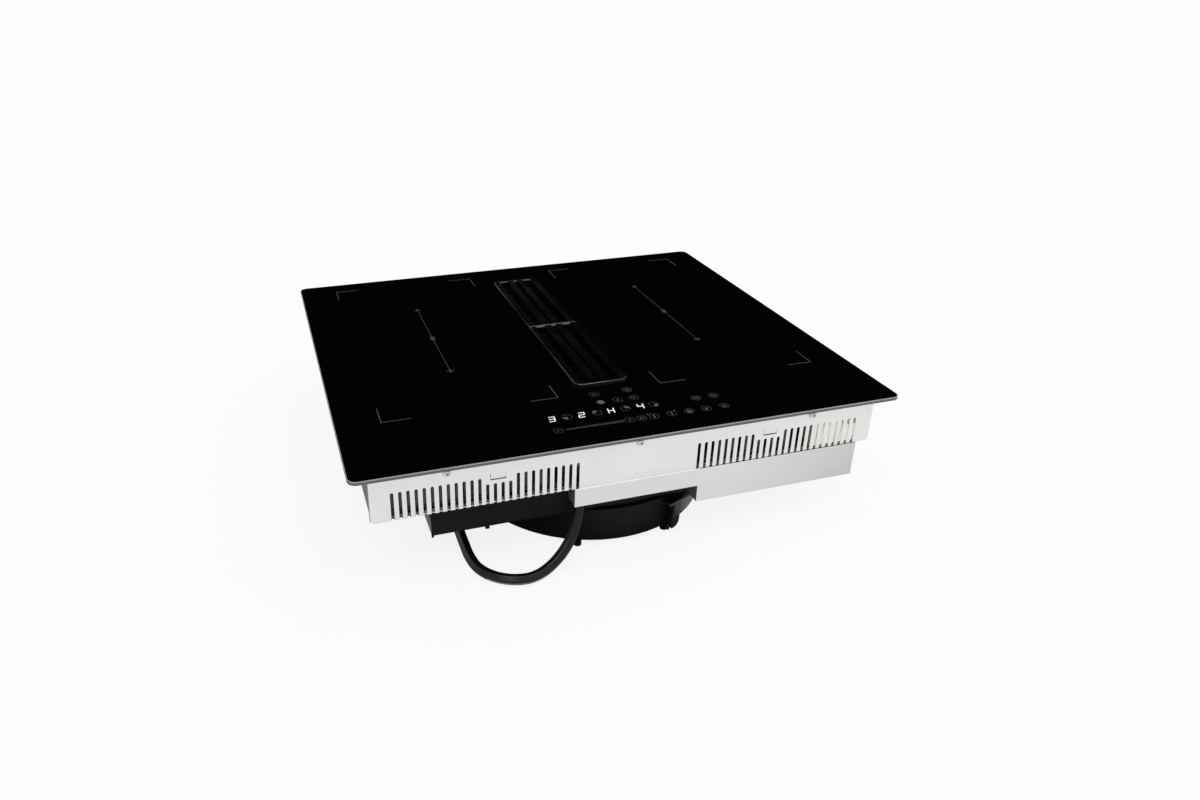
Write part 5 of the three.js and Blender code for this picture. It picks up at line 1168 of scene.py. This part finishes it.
LITZ_PITCH = 0.0045  # a 4.5 mm strand
RING_REPEAT = 0.314  # the pitch of a ring texture of scale 1
for side, x in (("left", -0.1545), ("right", 0.1545)):
    for row, y in (("front", -0.058), ("rear", 0.1338)):
        # Litz strand under varnish: copper turns, with the valleys between them darkened as painted shade,
        # and the strand's own twist at 1.1 mm
        litz = new_material(
            f"varnished_litz_{side}_{row}", {"Metallic": 1.0, "Roughness": 0.4},
            ("ShaderNodeTexWave",
             {"wave_type": "RINGS", "rings_direction": "Z", "Scale": RING_REPEAT / LITZ_PITCH},
             {"Base Color": ("5a3018", "b97242"), "Normal": (0.8, 0.001)}, {"Location": (-x, -y, 0.0)}),
            ("ShaderNodeTexNoise", {"Scale": 900.0}, {"Normal": (0.3, 0.0002)}),
        )
        rounded_copy(f"litz_coil_{side}_{row}", f"coil_{side}_{row}", 1.0, [litz])
        rounded_copy(f"coil_carrier_with_bars_{side}_{row}", f"coil_carrier_{side}_{row}", 0.4, [polyamide])
    rounded_copy(f"folded_coil_plate_{side}", f"coil_plate_{side}", 0.3, [rolled],
                 segments=1)

# --------------------------------------------------------
# Electronics. On each side a power board with a finned heat sink behind the vents and an axial fan at the
# back; the control board lies in the box below. What stands on the boards shows dimly through the slots.

# Solder mask over copper tracks: dull green in fields of 12 by 4 mm, paler where a track runs under it
mask = new_material(
    "green_solder_mask", {"IOR": 1.5, "Roughness": 0.35},
    ("ShaderNodeTexBrick",
     {"Color1": linear("1c3d2e"), "Color2": linear("244936"), "Mortar": linear("39604a"),
      "Scale": 60.0, "Mortar Size": 0.03, "Brick Width": 0.7, "Row Height": 0.22},
     {"Base Color": None, "Normal": (0.2, 0.0002)}),
)
# Moulded and sleeved components: an even colour with a faint mottle of 3 mm
grey_sleeve, blue_film, cream_film, black_ferrite, brightened_cream_ceramic = [
    new_material(name, {"IOR": 1.5, "Roughness": roughness},
                 ("ShaderNodeTexNoise", {"Scale": 320.0, "Detail": 3.0}, {"Base Color": tones}))
    for name, tones, roughness in (
        ("grey_green_capacitor_sleeve", ("4e574f", "6a746b"), 0.4),
        ("blue_film_capacitor", ("236994", "2f7fb0"), 0.3),
        ("cream_film_capacitor", ("9d9377", "b5ab8c"), 0.4),
        ("sintered_ferrite", ("2d2f31", "3d3f42"), 0.65),
        # the bar's near-white cream is partly painted light, for the brightness seen through the last vent
        # slots
        ("cream_ceramic_painted_light", ("f6f2e6", "fffef6"), 0.3),
    )
]
component_finishes = [grey_sleeve, blue_film, cream_film, black_ferrite]
BOARD_TOP = 101.9
CAN_RADIUS = 6.6

for side_name, side in (("left", -1), ("right", 1)):
    rounded_copy(f"power_board_sheet_{side_name}", f"power_board_{side_name}", 0.0, [mask])
    rounded_copy(f"finned_sink_{side_name}", f"heat_sink_{side_name}", 0.2, [rolled],
                 segments=1)
    parts = bmesh.new()
    for i in range(6):
        # smoothing capacitors in a row, each with its rolled groove and sunk can top
        x, y = side * (100 + i * 15.4), -228 + (i % 2) * 2
        top = 121 + (i * 7) % 9
        spin_profile(parts, [(0, BOARD_TOP), (CAN_RADIUS, BOARD_TOP), (CAN_RADIUS, BOARD_TOP + 1),
                             (CAN_RADIUS - 0.4, BOARD_TOP + 1.8), (CAN_RADIUS, BOARD_TOP + 2.6),
                             (CAN_RADIUS, top - 0.8), (CAN_RADIUS - 0.6, top), (CAN_RADIUS - 1.4, top - 0.4),
                             (0, top - 0.4)], (x, y), 24)
    # film capacitors and chokes, then small chips towards the coil plate's fold: place, half sizes, height,
    # rounding and finish
    chips = [(96 + i * 21, -198, 8, 5, 15 + (i * 5) % 9, 0.9, (2, 3, 1, 3, 2)[i]) for i in range(5)]
    chips += [(84 + (i % 7) * 16.5, -181 + (i // 7) * 14, 4.2, 3, 2.4 + (i * 3) % 5, 0.35, 3 if i % 3 else 2)
              for i in range(14)]
    for distance, y, half_x, half_y, height, edge, finish in chips:
        x = side * distance
        verts = block(parts, x - half_x, x + half_x, y - half_y, y + half_y, BOARD_TOP, BOARD_TOP + height,
                      edge)
        for face in {face for vert in verts for face in vert.link_faces}:
            face.material_index = finish
    finish_piece(f"board_parts_{side_name}", parts, component_finishes, "hob")
    rounded_copy(f"axial_fan_frame_{side_name}", f"cooling_fan_{side_name}", 0.5, [moulded])
    rounded_copy(f"axial_fan_rotor_{side_name}", f"cooling_rotor_{side_name}", 0.3, [talc],
                 segments=1)

# A ribbed cream ceramic bar insulates the right-hand sink's transistors, close behind the last vent slots.
# Its near-white tone is partly painted light: it stands for the brightness seen through those slots
bracket = bmesh.new()
block(bracket, 203, 262, -240, -237.5, 97, 127.5, 0.3)
for i in range(10):
    # the last three ribs stop short of the bar's top
    rib_top = 126 if i < 7 else 119
    rib = block(bracket, 203.4 + i * 6, 208.5 + i * 6, -241.85, -239.8, 98.5, rib_top, 0.4)
    bmesh.ops.rotate(bracket, cent=(206 + i * 6, -241, 112), matrix=Matrix.Rotation(0.1, 3, "Y"), verts=rib)
finish_piece("ribbed_sink_bracket", bracket, [brightened_cream_ceramic], "hob")

# A grey-green insulating film screens the end of the left-hand board
film = bmesh.new()
block(film, -262, -186, -233.6, -233, BOARD_TOP, 132)
finish_piece("insulating_film", film, [grey_sleeve], "hob")
rounded_copy("control_board_sheet", "control_board", 0.0, [mask])

# --------------------------------------------------------
# Touch control and mains terminals. The touch board and its display stand on a moulded tray right under the
# glass; the lead ends in a screw terminal block, with three insulated wires on to the left power board.

# Smoked acrylic window over the display: nearly black and glossy, with faint clouds of 25 mm
smoked = new_material(
    "smoked_acrylic", {"IOR": 1.49, "Roughness": 0.12},
    ("ShaderNodeTexNoise", {"Scale": 40.0}, {"Base Color": ("0b0b0d", "141417")}),
)

rounded_copy("moulded_touch_tray", "touch_tray", 0.4, [polyamide])
rounded_copy("touch_board_sheet", "touch_board", 0.0, [mask])
rounded_copy("display_module", "digit_display", 0.3, [smoked])
rounded_copy("terminal_housing", "terminal_block", 0.6, [polyamide])

wire_mesh = bmesh.new()
for index, (lift, forward) in enumerate(((0, 8), (5, 0), (1, 16))):
    way = [Vector((x, y + forward, z)) for x, y, z in (
        (-44 + index * 4, -208, 119.2), (-48 + index * 3, -213, 119.4 + lift * 0.6),
        (-52, -236, 119 + lift * 0.5), (-70, -238.5, 119.5 + lift * 0.6), (-82, -234, 116 + lift),
        (-92, -216, 110), (-94, -206, 103.5),
    )]
    sweep(wire_mesh, smooth_route(way, 5), round_section(CORE_RADIUS, 12), index)
finish_piece("inner_wires", wire_mesh, core_finishes, "hob", 50)
